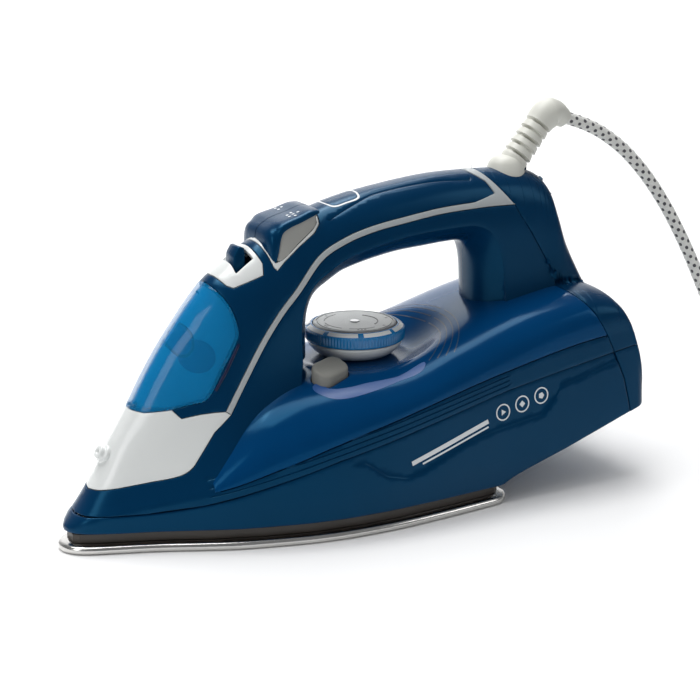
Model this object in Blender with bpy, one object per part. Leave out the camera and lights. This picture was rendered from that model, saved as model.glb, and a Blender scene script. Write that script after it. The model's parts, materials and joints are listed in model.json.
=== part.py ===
"""Steam iron: a soleplate and its heater under a moulded skirt, a clear water tank, a nose with a
filler lid, a looped handle with two pump buttons, a temperature dial and a swivelling mains lead.

Frame: +X runs to the heel, the nose points along -X, +Z is up and the sole rests on z = 0.
All lengths below are in millimetres, and the meshes are made in metres.
"""

from math import cos, exp, hypot, pi, radians, sin, sqrt

import bmesh
import bpy
from mathutils import Matrix, Vector

MM = 0.001

# Driving dimensions
GAP = 0.3  # clearance between neighbouring pieces
WALL = 2.4  # thickness of the moulded shells
NOSE_X, HEEL_X = -147.5, 150.0
SOLE_FRONT, SOLE_REAR = -150.0, 68.0
SOLE_THICK = 4.0
SKIRT_BOTTOM = 9.5
HEEL_CORNER = 6.0
DIAL_X, DIAL_R, DIAL_Z = 7.0, 24.5, 80.6
CALC_AT, CALC_SIZE, CALC_TURN, CALC_LOW = (-21.0, -25.0), (15.5, 10.0), 18, 72.6
LEVER_X = -45.0
PUMP_X, PUMP_Y = -34.0, 6.6
SWIVEL_X, SWIVEL_Z = 93.5, 152.6
BUTTON_TRAVEL = 3.0
LID_HINGE = (-113.0, 0.0, 66.5)
CORD_R = 3.25

# Half width of the skirt in plan, then the heights along the length: the underside, the top of
# the upright wall, the top of the tank, and the ridge of the nose and handle.
PLAN = [(-147.5, 0), (-143, 8.5), (-128, 16.5), (-111, 23.5), (-95, 31), (-78, 39), (-60, 45),
        (-42, 50), (-22, 53), (-1, 54), (22, 53.4), (47, 52), (66, 51), (100, 50.4), (150, 50)]
SOLE_PLAN = [(-150, 0), (-145, 10), (-128, 18), (-111, 25), (-95, 33), (-78, 41), (-60, 47),
             (-42, 52), (-22, 55), (-1, 56), (22, 55), (47, 53), (68, 51)]
UNDERSIDE = [(-147.5, 9.5), (60, 9.5), (68, 12.5), (100, 22), (150, 37.5)]
WALL_TOP = [(-147.5, 11), (-140, 16), (-120, 20), (-100, 24.5), (-80, 29.5), (-57, 37),
            (-29, 46), (3, 53.6), (60, 65.4), (127, 75.5), (139, 76), (150, 40)]
TANK_TOP = [(-147.5, 11.5), (-100, 25), (-92, 31), (-80, 46), (-65, 60.5), (-56, 66), (-40, 71),
            (-20, 73.5), (7, 75), (40, 83), (91, 95), (120, 98), (131, 96), (136, 91),
            (140.5, 82), (144.5, 71), (148, 59), (149.6, 48), (150, 41)]
RIDGE = [(-147.5, 12), (-142, 18), (-135, 28.5), (-122, 51), (-114, 63.5), (-105, 79), (-97, 91),
         (-88, 102.5), (-80, 112), (-71.5, 120.5), (-60, 128.5), (-50, 134.5), (-40, 139),
         (-25, 144.5), (-11, 149), (19, 154.5), (55, 157.4), (83, 156.6), (100, 155), (107, 153),
         (112.5, 148.5), (116, 139), (120, 126), (128.5, 107), (134.5, 94), (150, 46)]
# The bell section of the nose and handle: share of the wall's width left in the column, how
# fast it narrows, and how square its top is. Then how square the tank's shoulders are.
COLUMN_SHARE = [(-140, 0.7), (-120, 0.62), (-100, 0.6), (-80, 0.56), (-60, 0.5), (-35, 0.42),
                (0, 0.385), (105, 0.4), (128, 0.45)]
NARROWING = [(-140, 2), (-120, 2.5), (-100, 3), (-80, 4), (-60, 6), (-35, 8), (0, 10)]
RIDGE_POWER = [(-140, 2.2), (-120, 2.3), (-100, 2.6), (-80, 3.4), (-60, 5), (-35, 7.5), (0, 9),
               (105, 8), (128, 5)]
TANK_POWER = [(-90, 2.2), (7, 2.4), (95, 3.3), (131, 4), (140, 6), (150, 8)]

# Parting lines in side view
SEAM = [(-160, 17.5), (-115, 18.5), (-92, 21.5), (-66, 28), (-30, 38), (12, 46.5), (66, 57), (130, 66.5)]
HEEL_SEAM = [(130, 66.5), (136, 52.5), (139, 39.5), (141, 25)]
UPPER_HEEL_SEAM = [(130, 66.5), (125.5, 76), (118.5, 87.5), (112, 97), (111, 104), (97, 127),
                   (91.5, 135), (88.5, 140.5)]
COVER_EDGE = [(-160, 25), (-135, 28.5), (-112, 32.5), (-99.5, 35), (-94, 38), (-89.5, 43.5), (-82, 53.5)]
STRIP = [(-93, 37.5), (-83.5, 50), (-74.5, 61.5), (-64, 77), (-53.5, 92.5), (-44.5, 103.5),
         (-35.5, 112.5), (-22, 127), (-8.5, 133.5), (7, 137.5), (26, 140), (46, 142), (65, 142.5),
         (76, 142.5)]
STRIP_HALF = 1.5
STRIP_START, GRIP_START = 2, 7  # indices into STRIP: the foot of the trim, and of the grip
TRIM_REAR = [(88.5, 140.5), (82, 148), (74.5, 157), (73, 162)]
GRIP_REAR = [(67, 162), (68, 157.5), (74.5, 152.5), (77.5, 147)]
FRAME_EDGE = [(-99, 64.5), (-95.5, 60.5), (-87.5, 62), (-81, 62.5)]
LID_FOOT = [(-110, 63), (-113.5, 63.5), (-140, 63.5)]
LID_SIDE = [(-99, 64.5), (-91, 66.5), (-83.5, 68.5), (-75.5, 80.5), (-67, 94), (-66, 98), (-67, 105.5),
            (-69.5, 112), (-73.5, 118), (-77, 122)]
BEZEL = [(-76, 128), (-70, 121), (-67.5, 118), (-65, 117), (-51, 122), (-50, 127), (-51.5, 132), (-55, 142)]
CRADLE = [(-53, 143), (-48.5, 135.5), (-47, 131), (-45.5, 125), (-44, 123.5), (-40, 127), (-31.5, 133),
          (-22.5, 138.5), (-19, 142), (-18, 145), (-16, 156)]
INLAY = [(9, 151), (20, 153), (43, 154.5), (64, 154.5), (64, 165), (9, 165)]
LENS = [(-11.5, 148), (-8, 147), (4.5, 150), (5.5, 151), (5.5, 165), (-11.5, 165)]
HOLE = [(-23.5, 92), (-22.5, 100), (-19.5, 106.5), (-13, 111), (-3, 116), (22, 121), (44, 122.5),
        (57, 123), (64, 122.5), (67.5, 119.5), (70, 112), (71, 100), (71.5, 90), (64, 81), (-14, 68),
        (-23.5, 72)]
HANDLE_SPLIT = (-9.0, 107.0)  # where the front column, the handle and the finger hole meet
GRIP_FRONT = -15.3
DIVIDE = [(170, 71.8), (141, 68)]  # between the rear cover and the heel, read from the rear
TANK_ENDS = (-88.0, 130.0)
HOLE_FLARE = 8.5  # how much wider the finger hole is at the handle's sides than at its middle

NAVY, CLEAR_BLUE, CYAN = (0.008, 0.06, 0.16), (0.02, 0.14, 0.42), (0.01, 0.3, 0.62)
WHITE, SILVER, GREY = (0.78, 0.79, 0.77), (0.55, 0.57, 0.56), (0.36, 0.36, 0.35)
STEEL, ALUMINIUM, DARK = (0.62, 0.61, 0.6), (0.55, 0.56, 0.57), (0.03, 0.022, 0.018)
BRASS, DIAL_BLUE = (0.7, 0.5, 0.2), (0.02, 0.24, 0.5)
SECTIONS = 17  # cross-sections along the body, and the shares of its height that each is drawn at
RIDGE_LEVELS = (0, 0.05, 0.13, 0.26, 0.45, 0.68, 0.87, 0.97)
TANK_LEVELS = (0, 0.32, 0.6, 0.8, 0.95)


# ---------------------------------------------------------------- curves


def smooth(points, x):
    """The value at x of a smooth curve through (x, value) points that never overshoots them."""
    xs, ys = [p[0] for p in points], [p[1] for p in points]
    steps = [b - a for a, b in zip(xs, xs[1:])]
    rises = [(b - a) / h for a, b, h in zip(ys, ys[1:], steps)]
    slopes = [rises[0]] + [0.0] * (len(xs) - 2) + [rises[-1]]
    for i in range(1, len(xs) - 1):
        if rises[i - 1] * rises[i] > 0:
            before, after = 2 * steps[i] + steps[i - 1], steps[i] + 2 * steps[i - 1]
            slopes[i] = (before + after) / (before / rises[i - 1] + after / rises[i])
    x = min(max(x, xs[0]), xs[-1])
    i = max(k for k in range(len(steps)) if xs[k] <= x)
    t = (x - xs[i]) / steps[i]
    start = ys[i] * (1 + 2 * t) * (1 - t) ** 2 + steps[i] * slopes[i] * t * (1 - t) ** 2
    end = ys[i + 1] * t * t * (3 - 2 * t) + steps[i] * slopes[i + 1] * t * t * (t - 1)
    return start + end


def rounded_plan(points, tip, x):
    """Half width at x of an outline whose tip is round: its width grows as a square root."""
    stretched = [(sqrt(a - tip), width) for a, width in points]
    return smooth(stretched, sqrt(max(x - tip, 0)))


def skirt_half_width(x):
    width = rounded_plan(PLAN, NOSE_X, x)
    past = x - (HEEL_X - HEEL_CORNER)
    if past > 0:
        width -= HEEL_CORNER - sqrt(max(HEEL_CORNER**2 - past**2, 0))
    return width


def sole_half_width(x):
    width = rounded_plan(SOLE_PLAN, SOLE_FRONT, x)
    corner = 11.0
    past = x - (SOLE_REAR - corner)
    if past > 0:
        width -= corner - sqrt(max(corner**2 - past**2, 0))
    return width


def wall_half_width(x, z):
    """The upright wall leans in a little above its widest line."""
    return skirt_half_width(x) - 0.07 * max(min(z, smooth(WALL_TOP, x)) - 22, 0)


def tank_half_width(x, z):
    base, top = smooth(WALL_TOP, x), smooth(TANK_TOP, x)
    if z <= base:
        return wall_half_width(x, z)
    power = smooth(TANK_POWER, x)
    share = min((z - base) / (top - base), 1)
    return wall_half_width(x, base) * (1 - share**power) ** (1 / power)


def ridge_half_width(x, z):
    base, top = smooth(WALL_TOP, x), smooth(RIDGE, x)
    if z <= base:
        return wall_half_width(x, z)
    share = min((z - base) / (top - base), 1)
    column = smooth(COLUMN_SHARE, x)
    bell = column + (1 - column) * exp(-smooth(NARROWING, x) * share)
    return wall_half_width(x, base) * bell * sqrt(1 - share ** smooth(RIDGE_POWER, x))


# ---------------------------------------------------------------- meshes


def material(name, colour, roughness=0.35, metallic=0.0, alpha=1.0):
    made = bpy.data.materials.get(name) or bpy.data.materials.new(name)
    made.use_nodes = True
    shader = made.node_tree.nodes["Principled BSDF"]
    shader.inputs["Base Color"].default_value = (*colour, 1)
    shader.inputs["Roughness"].default_value = roughness
    shader.inputs["Metallic"].default_value = metallic
    shader.inputs["Alpha"].default_value = alpha
    made.diffuse_color = (*colour, alpha)
    return made


def mesh_object(name, points, faces, paint=None, origin=(0, 0, 0)):
    """A closed mesh with its faces turned outwards. Without a paint it is a hidden cutter."""
    data = bpy.data.meshes.new(name)
    origin = Vector(origin)
    data.from_pydata([(Vector(p) - origin) * MM for p in points], [], faces)
    shape = bmesh.new()
    shape.from_mesh(data)
    bmesh.ops.recalc_face_normals(shape, faces=shape.faces)
    if shape.calc_volume(signed=True) < 0:
        bmesh.ops.reverse_faces(shape, faces=shape.faces)
    shape.to_mesh(data)
    shape.free()
    data.shade_smooth()
    data.set_sharp_from_angle(angle=radians(35))
    obj = bpy.data.objects.new(name, data)
    obj.location = origin * MM
    bpy.context.scene.collection.objects.link(obj)
    if paint is None:
        obj.hide_render = True
        obj.display_type = "WIRE"
    else:
        data.materials.append(paint)
    return obj


def bridged(rings, closed=False):
    """Points and faces of a solid through rings of equal counts: with end caps, or closed on itself."""
    count, total = len(rings[0]), len(rings) * len(rings[0])
    points = [p for ring in rings for p in ring]
    faces = [] if closed else [tuple(range(count)), tuple(range(total - count, total))]
    for start in range(0, total if closed else total - count, count):
        for i in range(count):
            j = (i + 1) % count
            after = (start + count) % total
            faces.append((start + i, start + j, after + j, after + i))
    return points, faces


def prism(name, outline, low=-80.0, high=80.0, paint=None):
    """A side-view outline of (x, z) points, extruded across the iron."""
    return mesh_object(name, *bridged([[(x, y, z) for x, z in outline] for y in (low, high)]), paint)


def plate(name, outline, low, high, paint=None, origin=(0, 0, 0)):
    """A plan outline of (x, y) points, extruded upwards."""
    rings = [[(x, y, z) for x, y in outline] for z in (low, high)]
    return mesh_object(name, *bridged(rings), paint, origin)


def turned(name, profile, centre, paint=None, axis=(0, 0, 1), sides=24, origin=None, bored=False):
    """A solid turned about an axis: profile is (radius, height) pairs from end to end, or all the
    way round the section of a bored piece."""
    centre = Vector(centre)
    turn = Vector((0, 0, 1)).rotation_difference(Vector(axis))
    angles = [2 * pi * i / sides for i in range(sides)]
    rings = [[tuple(centre + turn @ Vector((r * cos(a), r * sin(a), h))) for a in angles]
             for r, h in profile]
    return mesh_object(name, *bridged(rings, bored), paint, tuple(centre) if origin is None else origin)


def pipe(name, points, radius, paint, sides=8, origin=(0, 0, 0)):
    """A round bar along a path of points, with flat ends."""
    path = [Vector(p) for p in points]
    ways = [(b - a).normalized() for a, b in zip(path, path[1:])]
    tangents = [ways[0]] + [(a + b).normalized() for a, b in zip(ways, ways[1:])] + [ways[-1]]
    side = tangents[0].orthogonal().normalized()
    rings = []
    for point, along in zip(path, tangents):
        side = (side - along * side.dot(along)).normalized()
        other = along.cross(side)
        turns = [2 * pi * i / sides for i in range(sides)]
        rings.append([tuple(point + (side * cos(a) + other * sin(a)) * radius) for a in turns])
    return mesh_object(name, *bridged(rings), paint, origin)


def boolean(obj, tool, operation):
    change = obj.modifiers.new(tool.name, "BOOLEAN")
    change.operation = operation
    change.object = tool
    change.use_self = True


def cut(obj, *tools):
    for tool in tools:
        boolean(obj, tool, "DIFFERENCE")
    return obj


def keep(obj, tool):
    boolean(obj, tool, "INTERSECT")
    return obj


def stations(first, last, count):
    """Places along the length, closer together at the nose and at the heel."""
    middle, half = (first + last) / 2, (last - first) / 2
    places = []
    for i in range(count + 1):
        even = 2 * i / count - 1
        places.append(middle + half * (0.45 * even + 0.55 * sin(even * pi / 2)))
    return places


def section(x, half_width, top, inset, low):
    """The near side of a cross-section as (half width, height) points from its floor to its top."""
    base, ceiling = smooth(WALL_TOP, x), smooth(top, x)
    floor = smooth(UNDERSIDE, x) + inset if low is None else low(x) if callable(low) else low
    shares = TANK_LEVELS if top is TANK_TOP else RIDGE_LEVELS
    start = max(base, floor + 0.3)
    heights = [floor, (floor + start) / 2] + [start + share * (ceiling - start) for share in shares]
    points = [(half_width(x, z), z) for z in heights] + [(0.25, ceiling)]
    if not inset:
        return [(max(y, 0.3), z) for y, z in points[:-1]] + points[-1:]
    skew = (skirt_half_width(x + 1) - skirt_half_width(x - 1)) / 2
    slope = (smooth(top, x + 1) - smooth(top, x - 1)) / 2
    inward, down = inset * min(hypot(1, skew), 1.6), inset * min(hypot(1, slope), 2.5)
    moved, height = [], -1e9
    for (y, z), (y1, z1) in zip(points, beside(points, 1.0)):
        height = max(z + (z1 - z) * down, height + 0.05)
        moved.append((max(y + (y1 - y) * inward, 0.3), height))
    return moved[:-1] + [(0.25, moved[-1][1])]


def body_loft(name, half_width, top, first, last, inset=0.0, low=None, paint=None, count=SECTIONS):
    """A solid through the body's cross-sections, shrunk by an inset and flat below."""
    rings = []
    for x in stations(first, last, count):
        side = section(x, half_width, top, inset, low)
        rings.append([(x, -y, z) for y, z in side] + [(x, y, z) for y, z in reversed(side)])
    return mesh_object(name, *bridged(rings), paint)


def outline_of(half_width, first, last, inset, count=30):
    """A closed plan outline at an inset from a half-width curve."""
    reach = (last - first) / 2 - inset
    middle = (first + last) / 2
    places = [middle - reach * cos(pi * i / count) for i in range(count + 1)]
    near = []
    for x in places:
        skew = half_width(min(x + 1, last)) - half_width(max(x - 1, first))
        near.append((x, max(half_width(x) - inset * min(hypot(1, skew / 2), 1.5), 0.5)))
    return [(x, -y) for x, y in near] + [(x, y) for x, y in reversed(near)]


def rounded_outline(centre, length, width, corner, turn, steps=4):
    """A plan outline with round corners, turned by an angle in degrees."""
    points = []
    for quarter, (sx, sy) in enumerate(((1, 1), (-1, 1), (-1, -1), (1, -1))):
        cx, cy = sx * (length / 2 - corner), sy * (width / 2 - corner)
        for i in range(steps + 1):
            angle = (quarter + i / steps) * pi / 2
            points.append((cx + corner * cos(angle), cy + corner * sin(angle)))
    a = radians(turn)
    return [(centre[0] + x * cos(a) - y * sin(a), centre[1] + x * sin(a) + y * cos(a)) for x, y in points]


def beside(line, distance):
    """A line of (x, z) points moved sideways: a positive distance moves it to the upper left."""
    moved = []
    for i, (x, z) in enumerate(line):
        a, b = line[max(i - 1, 0)], line[min(i + 1, len(line) - 1)]
        dx, dz = b[0] - a[0], b[1] - a[1]
        size = hypot(dx, dz)
        moved.append((x - dz / size * distance, z + dx / size * distance))
    return moved


def grown(outline, distance):
    """A closed outline moved outwards by a distance, whichever way round it runs."""
    area = sum(a[0] * b[1] - b[0] * a[1] for a, b in zip(outline, outline[1:] + outline[:1]))
    closed = [outline[-1]] + outline + [outline[0]]
    return beside(closed, -distance if area > 0 else distance)[1:-1]


def height_at(line, x):
    """The height of a line of (x, z) points at x."""
    for (x0, z0), (x1, z1) in zip(line, line[1:]):
        if x0 <= x <= x1:
            return z0 + (z1 - z0) * (x - x0) / (x1 - x0)
    return line[-1][1]


def piece(obj, outline):
    """Keeps what lies inside a side-view outline, half a gap back from its neighbours."""
    return keep(obj, prism(f"{obj.name}_region_cutter", grown(outline, -GAP / 2)))


def room_for(name, outline):
    """A cutter that leaves half a gap round a neighbour's outline."""
    return prism(f"room_{name}_cutter", grown(outline, GAP / 2))


def wall_top_line(first, last, rise, count=14):
    places = [first + (last - first) * i / count for i in range(count + 1)]
    return [(x, smooth(WALL_TOP, x) + rise) for x in places]


def finger_hole(name, growth):
    """A spool that opens the handle: wider at the sides than in the middle."""
    rings = []
    for y in (-36, -18.5, -16, -12.5, -8.5, -4, 4, 8.5, 12.5, 16, 18.5, 36):
        flare = HOLE_FLARE * (min(abs(y), 18.5) / 17) ** 2.4
        rings.append([(x, y, z) for x, z in grown(HOLE, growth + flare)])
    return mesh_object(name, *bridged(rings))


# ---------------------------------------------------------------- shared cutters


def ridge_loft(name, paint, first=NOSE_X, last=HEEL_X, count=SECTIONS):
    return body_loft(name, ridge_half_width, RIDGE, first, last, paint=paint, count=count)


def make_cutters():
    """The shared cutters: the finger hole, and the room inside each shell."""
    tools = {"hole": finger_hole("hole_cutter", 0)}
    tools["inside"] = cut(
        body_loft("inside_cutter", ridge_half_width, RIDGE, NOSE_X + 3.5, HEEL_X - WALL,
                  inset=WALL, low=0), finger_hole("hole_wall_cutter", WALL))
    tools["skirt_inside"] = body_loft("skirt_inside_cutter", ridge_half_width, RIDGE, 50,
                                      HEEL_X - WALL, inset=WALL, count=8)
    tools["sole_side"] = body_loft("sole_side_cutter", ridge_half_width, RIDGE, NOSE_X + 3.5, 64,
                                   inset=WALL, low=0)
    tools["tank_space"] = body_loft("tank_space_cutter", tank_half_width, TANK_TOP, *TANK_ENDS,
                                    inset=-GAP, low=lambda x: smooth(WALL_TOP, x) - 0.15)
    inside = body_loft("tank_inside_cutter", tank_half_width, TANK_TOP, -86, 126,
                       inset=WALL, low=lambda x: smooth(WALL_TOP, x) - 4)
    dish_wall = turned("dish_wall_cutter", [(29.5, 72), (29.5, 115)], (DIAL_X, 0, 0), sides=24)
    around = grown(rounded_outline(CALC_AT, *CALC_SIZE, 4, CALC_TURN), 2.6)
    pocket_wall = plate("pocket_wall_cutter", around, CALC_LOW - 5.6, 115)
    tools["tank_inside"] = cut(inside, dish_wall, pocket_wall)
    tools["heel_inside"] = body_loft("heel_inside_cutter", tank_half_width, TANK_TOP, 90,
                                     HEEL_X - WALL, inset=WALL, count=12)
    return tools


# ---------------------------------------------------------------- hot end


def make_soleplate():
    paint = material("stainless_sole", STEEL, 0.22, 1.0)
    rings = []
    for z, inset in ((0, 1.6), (1, 0.3), (2.6, 0), (SOLE_THICK, 1.4)):
        rings.append([(x, y, z) for x, y in outline_of(sole_half_width, SOLE_FRONT, SOLE_REAR, inset, 24)])
    sole = mesh_object("soleplate", *bridged(rings), paint)
    for i, (x, y) in enumerate(steam_hole_places()):
        cut(sole, turned(f"steam_hole_cutter_{i}", [(1.6, -2), (1.6, 6)], (x, y, 0), sides=8))
    return sole


def steam_hole_places():
    places = [(-132, 0)]
    for x, y in ((-112, 12), (-88, 21), (-60, 29), (-30, 35)):
        places += [(x, -y), (x, y)]
    return places


def make_heater():
    casting = material("cast_aluminium", ALUMINIUM, 0.5, 1.0)
    outline = outline_of(sole_half_width, SOLE_FRONT + 7, SOLE_REAR - 2, 9.5, count=16)
    plate("heater_casting", outline, SOLE_THICK + GAP, 12, casting)
    element = [(50, 26, 15.6), (10, 33, 15.6), (-45, 26, 15.6), (-90, 13, 15.6), (-106, 0, 15.6)]
    mirrored = [(x, -y, z) for x, y, z in reversed(element[:-1])]
    pipe("heating_element", element + mirrored, 3.2, material("element_sheath", STEEL, 0.45, 1.0))
    cover = outline_of(lambda x: min(sole_half_width(x), 24), -88, 40, 12, count=10)
    plate("steam_chamber_cover", cover, 12 + GAP, 14.2, casting)
    turned("thermostat", [(10, 14.5), (10, 19), (4, 19), (4, 20.5)], (DIAL_X, 0, 0),
           material("thermostat_metal", BRASS, 0.4, 1.0))
    turned("thermal_fuse", [(2.6, 0), (2.6, 16)], (24, -17, 15.2),
           material("ceramic_white", WHITE, 0.5), axis=(1, 0, 0), sides=10)
    turned("steam_valve_seat", [(6, 14.5), (6, 18), (4, 21)], (LEVER_X, 0, 0),
           material("valve_brass", BRASS, 0.35, 1.0), sides=16)


def make_heat_shield():
    """A dark tray turned over the heater: its rim shows between the sole and the skirt."""
    steps = ((SOLE_THICK + GAP, 5.2, 0), (8.4, 5.2, 0), (9.3, 6.6, 1), (20, 8.8, 12), (22, 9, 14))
    outer = [[(max(x, SOLE_FRONT + back + inset), y, z)
              for x, y in outline_of(sole_half_width, SOLE_FRONT + back, SOLE_REAR, inset, 14)]
             for z, inset, back in steps]
    inner_steps = ((0, 7.2, 2), (8.4, 7.4, 2), (20.2, 10.8, 15))
    inner = [[(x, y, z) for x, y in outline_of(sole_half_width, SOLE_FRONT + back, SOLE_REAR,
                                              inset, 14)] for z, inset, back in inner_steps]
    shield = mesh_object("heat_shield", *bridged(outer), material("bakelite", DARK, 0.5))
    cut(shield, mesh_object("shield_inside_cutter", *bridged(inner)))
    for name, x, y, r in (("valve", LEVER_X, 0, 5), ("dial", DIAL_X, 0, 5), ("left", 44, -26, 5),
                          ("right", 44, 26, 5), ("hose", -84, 5, 3)):
        cut(shield, turned(f"shield_{name}_hole_cutter", [(r, 15), (r, 26)], (x, y, 0), sides=12))


# ---------------------------------------------------------------- body shells


def make_skirt(tools):
    skirt = ridge_loft("lower_skirt", material("navy_gloss", NAVY, 0.25))
    piece(skirt, SEAM + HEEL_SEAM[1:] + [(141, -5), (-160, -5)])
    cut(skirt, tools["sole_side"], tools["skirt_inside"])


def make_upper_housing(tools):
    """The navy front column with the band that runs back round the tank."""
    housing = ridge_loft("upper_housing", material("navy_gloss", NAVY, 0.25))
    foot = beside(STRIP, -STRIP_HALF)
    band_top = list(reversed(wall_top_line(-9, 122, 3)))
    column = [HANDLE_SPLIT] + list(reversed(foot[STRIP_START:GRIP_START + 1]))
    piece(housing, SEAM + [UPPER_HEEL_SEAM[1]] + band_top + column + list(reversed(COVER_EDGE)))
    cut(housing, tools["inside"], tools["hole"], tools["tank_space"])


def make_tank(tools):
    tank = body_loft("water_tank", tank_half_width, TANK_TOP, *TANK_ENDS,
                     low=lambda x: smooth(WALL_TOP, x) + 0.15,
                     paint=material("tank_clear_blue", CLEAR_BLUE, 0.1, alpha=0.6))
    behind = UPPER_HEEL_SEAM[:4] + [(110, 130), (170, 130), (170, 50), (130, 50)]
    dish = turned("dial_dish_cutter", [(27, 74.5), (27, 110)], (DIAL_X, 0, 0), sides=24)
    pocket = plate("calc_pocket_cutter", grown(rounded_outline(CALC_AT, *CALC_SIZE, 4, CALC_TURN), 0.5),
                   CALC_LOW - 3.4, 115)
    cut(tank, room_for("rear_cover", behind), tools["tank_inside"], dish, pocket)
    for name, x, y, r in (("shaft", DIAL_X, 0, 3), ("valve", LEVER_X, 0, 3), ("calc", *CALC_AT, 2.4)):
        cut(tank, turned(f"tank_{name}_hole_cutter", [(r, 60), (r, 90)], (x, y, 0), sides=12))


def make_tank_base(tools):
    """The tray that closes the tank from below, nested inside the band."""
    base = body_loft("tank_base", ridge_half_width, RIDGE, -78, 102, inset=WALL + 1.3, low=27,
                     paint=material("tank_clear_blue", CLEAR_BLUE, 0.1, alpha=0.6), count=14)
    inside = body_loft("tray_inside_cutter", ridge_half_width, RIDGE, -75, 100, inset=WALL + 3.2,
                       low=29, count=14)
    region = wall_top_line(-90, 110, 0.8) + [(110, 10), (-90, 10)]
    keep(base, prism("tray_region_cutter", region))
    cut(base, inside)
    for name, x in (("shaft", DIAL_X), ("valve", LEVER_X)):
        cut(base, turned(f"tray_{name}_hole_cutter", [(3, 20), (3, 35)], (x, 0, 0), sides=12))


def make_nose_cover(tools):
    cover = ridge_loft("nose_cover", material("white_gloss", WHITE, 0.3), last=-40)
    ends = [beside(STRIP, side * STRIP_HALF)[STRIP_START] for side in (-1, 1)]
    piece(cover, COVER_EDGE + ends + list(reversed(FRAME_EDGE)) + LID_FOOT)
    nozzle_bore = turned("nozzle_bore_cutter", [(3.4, -14), (3.4, 8)], (-127, 0, 43.6),
                         axis=(-0.87, 0, 0.5), sides=12)
    cut(cover, tools["inside"], nozzle_bore)


def make_trim(tools):
    """The silver strip along both sides, joined over the handle at its rear."""
    trim = ridge_loft("side_trim", material("silver_plastic", SILVER, 0.35), first=-100, last=120)
    lower, upper = beside(STRIP, -STRIP_HALF)[STRIP_START:], beside(STRIP, STRIP_HALF)[STRIP_START:-1]
    piece(trim, lower + TRIM_REAR + GRIP_REAR + list(reversed(upper)))
    cut(trim, tools["inside"])


def make_front_cover(tools):
    """The navy frame round the lid, the lever and the front of the buttons."""
    cover = ridge_loft("front_cover", material("navy_gloss", NAVY, 0.25), last=20)
    upper = beside(STRIP, STRIP_HALF)
    strip = upper[STRIP_START:GRIP_START + 1] + [(GRIP_FRONT, height_at(upper, GRIP_FRONT))]
    piece(cover, list(reversed(LID_SIDE[1:])) + FRAME_EDGE + strip + [(GRIP_FRONT, 165), (-77, 165)])
    cut(cover, room_for("lever_bezel", BEZEL), room_for("button_cradle", CRADLE), tools["inside"])


def move_origin(obj, point):
    """Puts an object's origin on its joint, leaving its shape where it is."""
    obj.data.transform(Matrix.Translation(-Vector(point) * MM))
    obj.location = Vector(point) * MM


def make_lid(tools):
    lid = ridge_loft("filler_lid", material("lid_clear_cyan", CYAN, 0.08, alpha=0.7), last=-40)
    pin_bore = turned("lid_pin_bore_cutter", [(1.5, -9), (1.5, 9)], LID_HINGE, axis=(0, 1, 0), sides=10)
    piece(lid, LID_SIDE + [(-77, 126), (-140, 126)] + list(reversed(LID_FOOT)))
    cut(lid, tools["inside"], pin_bore)
    move_origin(lid, LID_HINGE)
    turned("lid_pin", [(1.2, -6.4), (1.2, 6.4)], LID_HINGE, material("pin_steel", STEEL, 0.3, 1.0),
           axis=(0, 1, 0), sides=10)


def make_funnel():
    """The inner face under the lid, with the round mouth that water is poured into."""
    paint = material("funnel_clear_blue", CLEAR_BLUE, 0.15, alpha=0.8)
    funnel = body_loft("filler_funnel", ridge_half_width, RIDGE, -112, -64, inset=5.2, low=48,
                       paint=paint, count=10)
    inside = body_loft("funnel_inside_cutter", ridge_half_width, RIDGE, -110, -62, inset=6.8, low=40,
                       count=10)
    mouth = turned("funnel_mouth_cutter", [(6.5, -20), (6.5, 30)], (-84, 0, 84),
                   axis=(-0.78, 0, 0.62), sides=16)
    keep(funnel, prism("funnel_region_cutter", [(-112, 62), (-80, 72), (-71, 92), (-78, 112), (-112, 112)]))
    cut(funnel, inside, mouth)


def make_bezel_and_lever(tools):
    bezel = ridge_loft("lever_bezel", material("white_gloss", WHITE, 0.3), last=20)
    piece(bezel, BEZEL)
    slot = plate("lever_slot_cutter", [(-61.5, -9.8), (-51.6, -9.8), (-51.6, 9.8), (-61.5, 9.8)], 105, 150)
    cut(bezel, tools["inside"], slot)
    arm = [(-42, 110), (-42, 114), (-53, 114), (-53.6, 133), (-56, 132.4), (-59, 129.4), (-59, 118),
           (-57, 110)]
    lever = prism("steam_lever", arm, -4.6, 4.6, material("navy_gloss", NAVY, 0.25))
    move_origin(lever, (LEVER_X, 0, 112))
    turned("steam_valve_rod", [(1.6, -86), (1.6, -2.3)], (LEVER_X, 0, 112),
           material("rod_steel", STEEL, 0.3, 1.0), sides=10)


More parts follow.
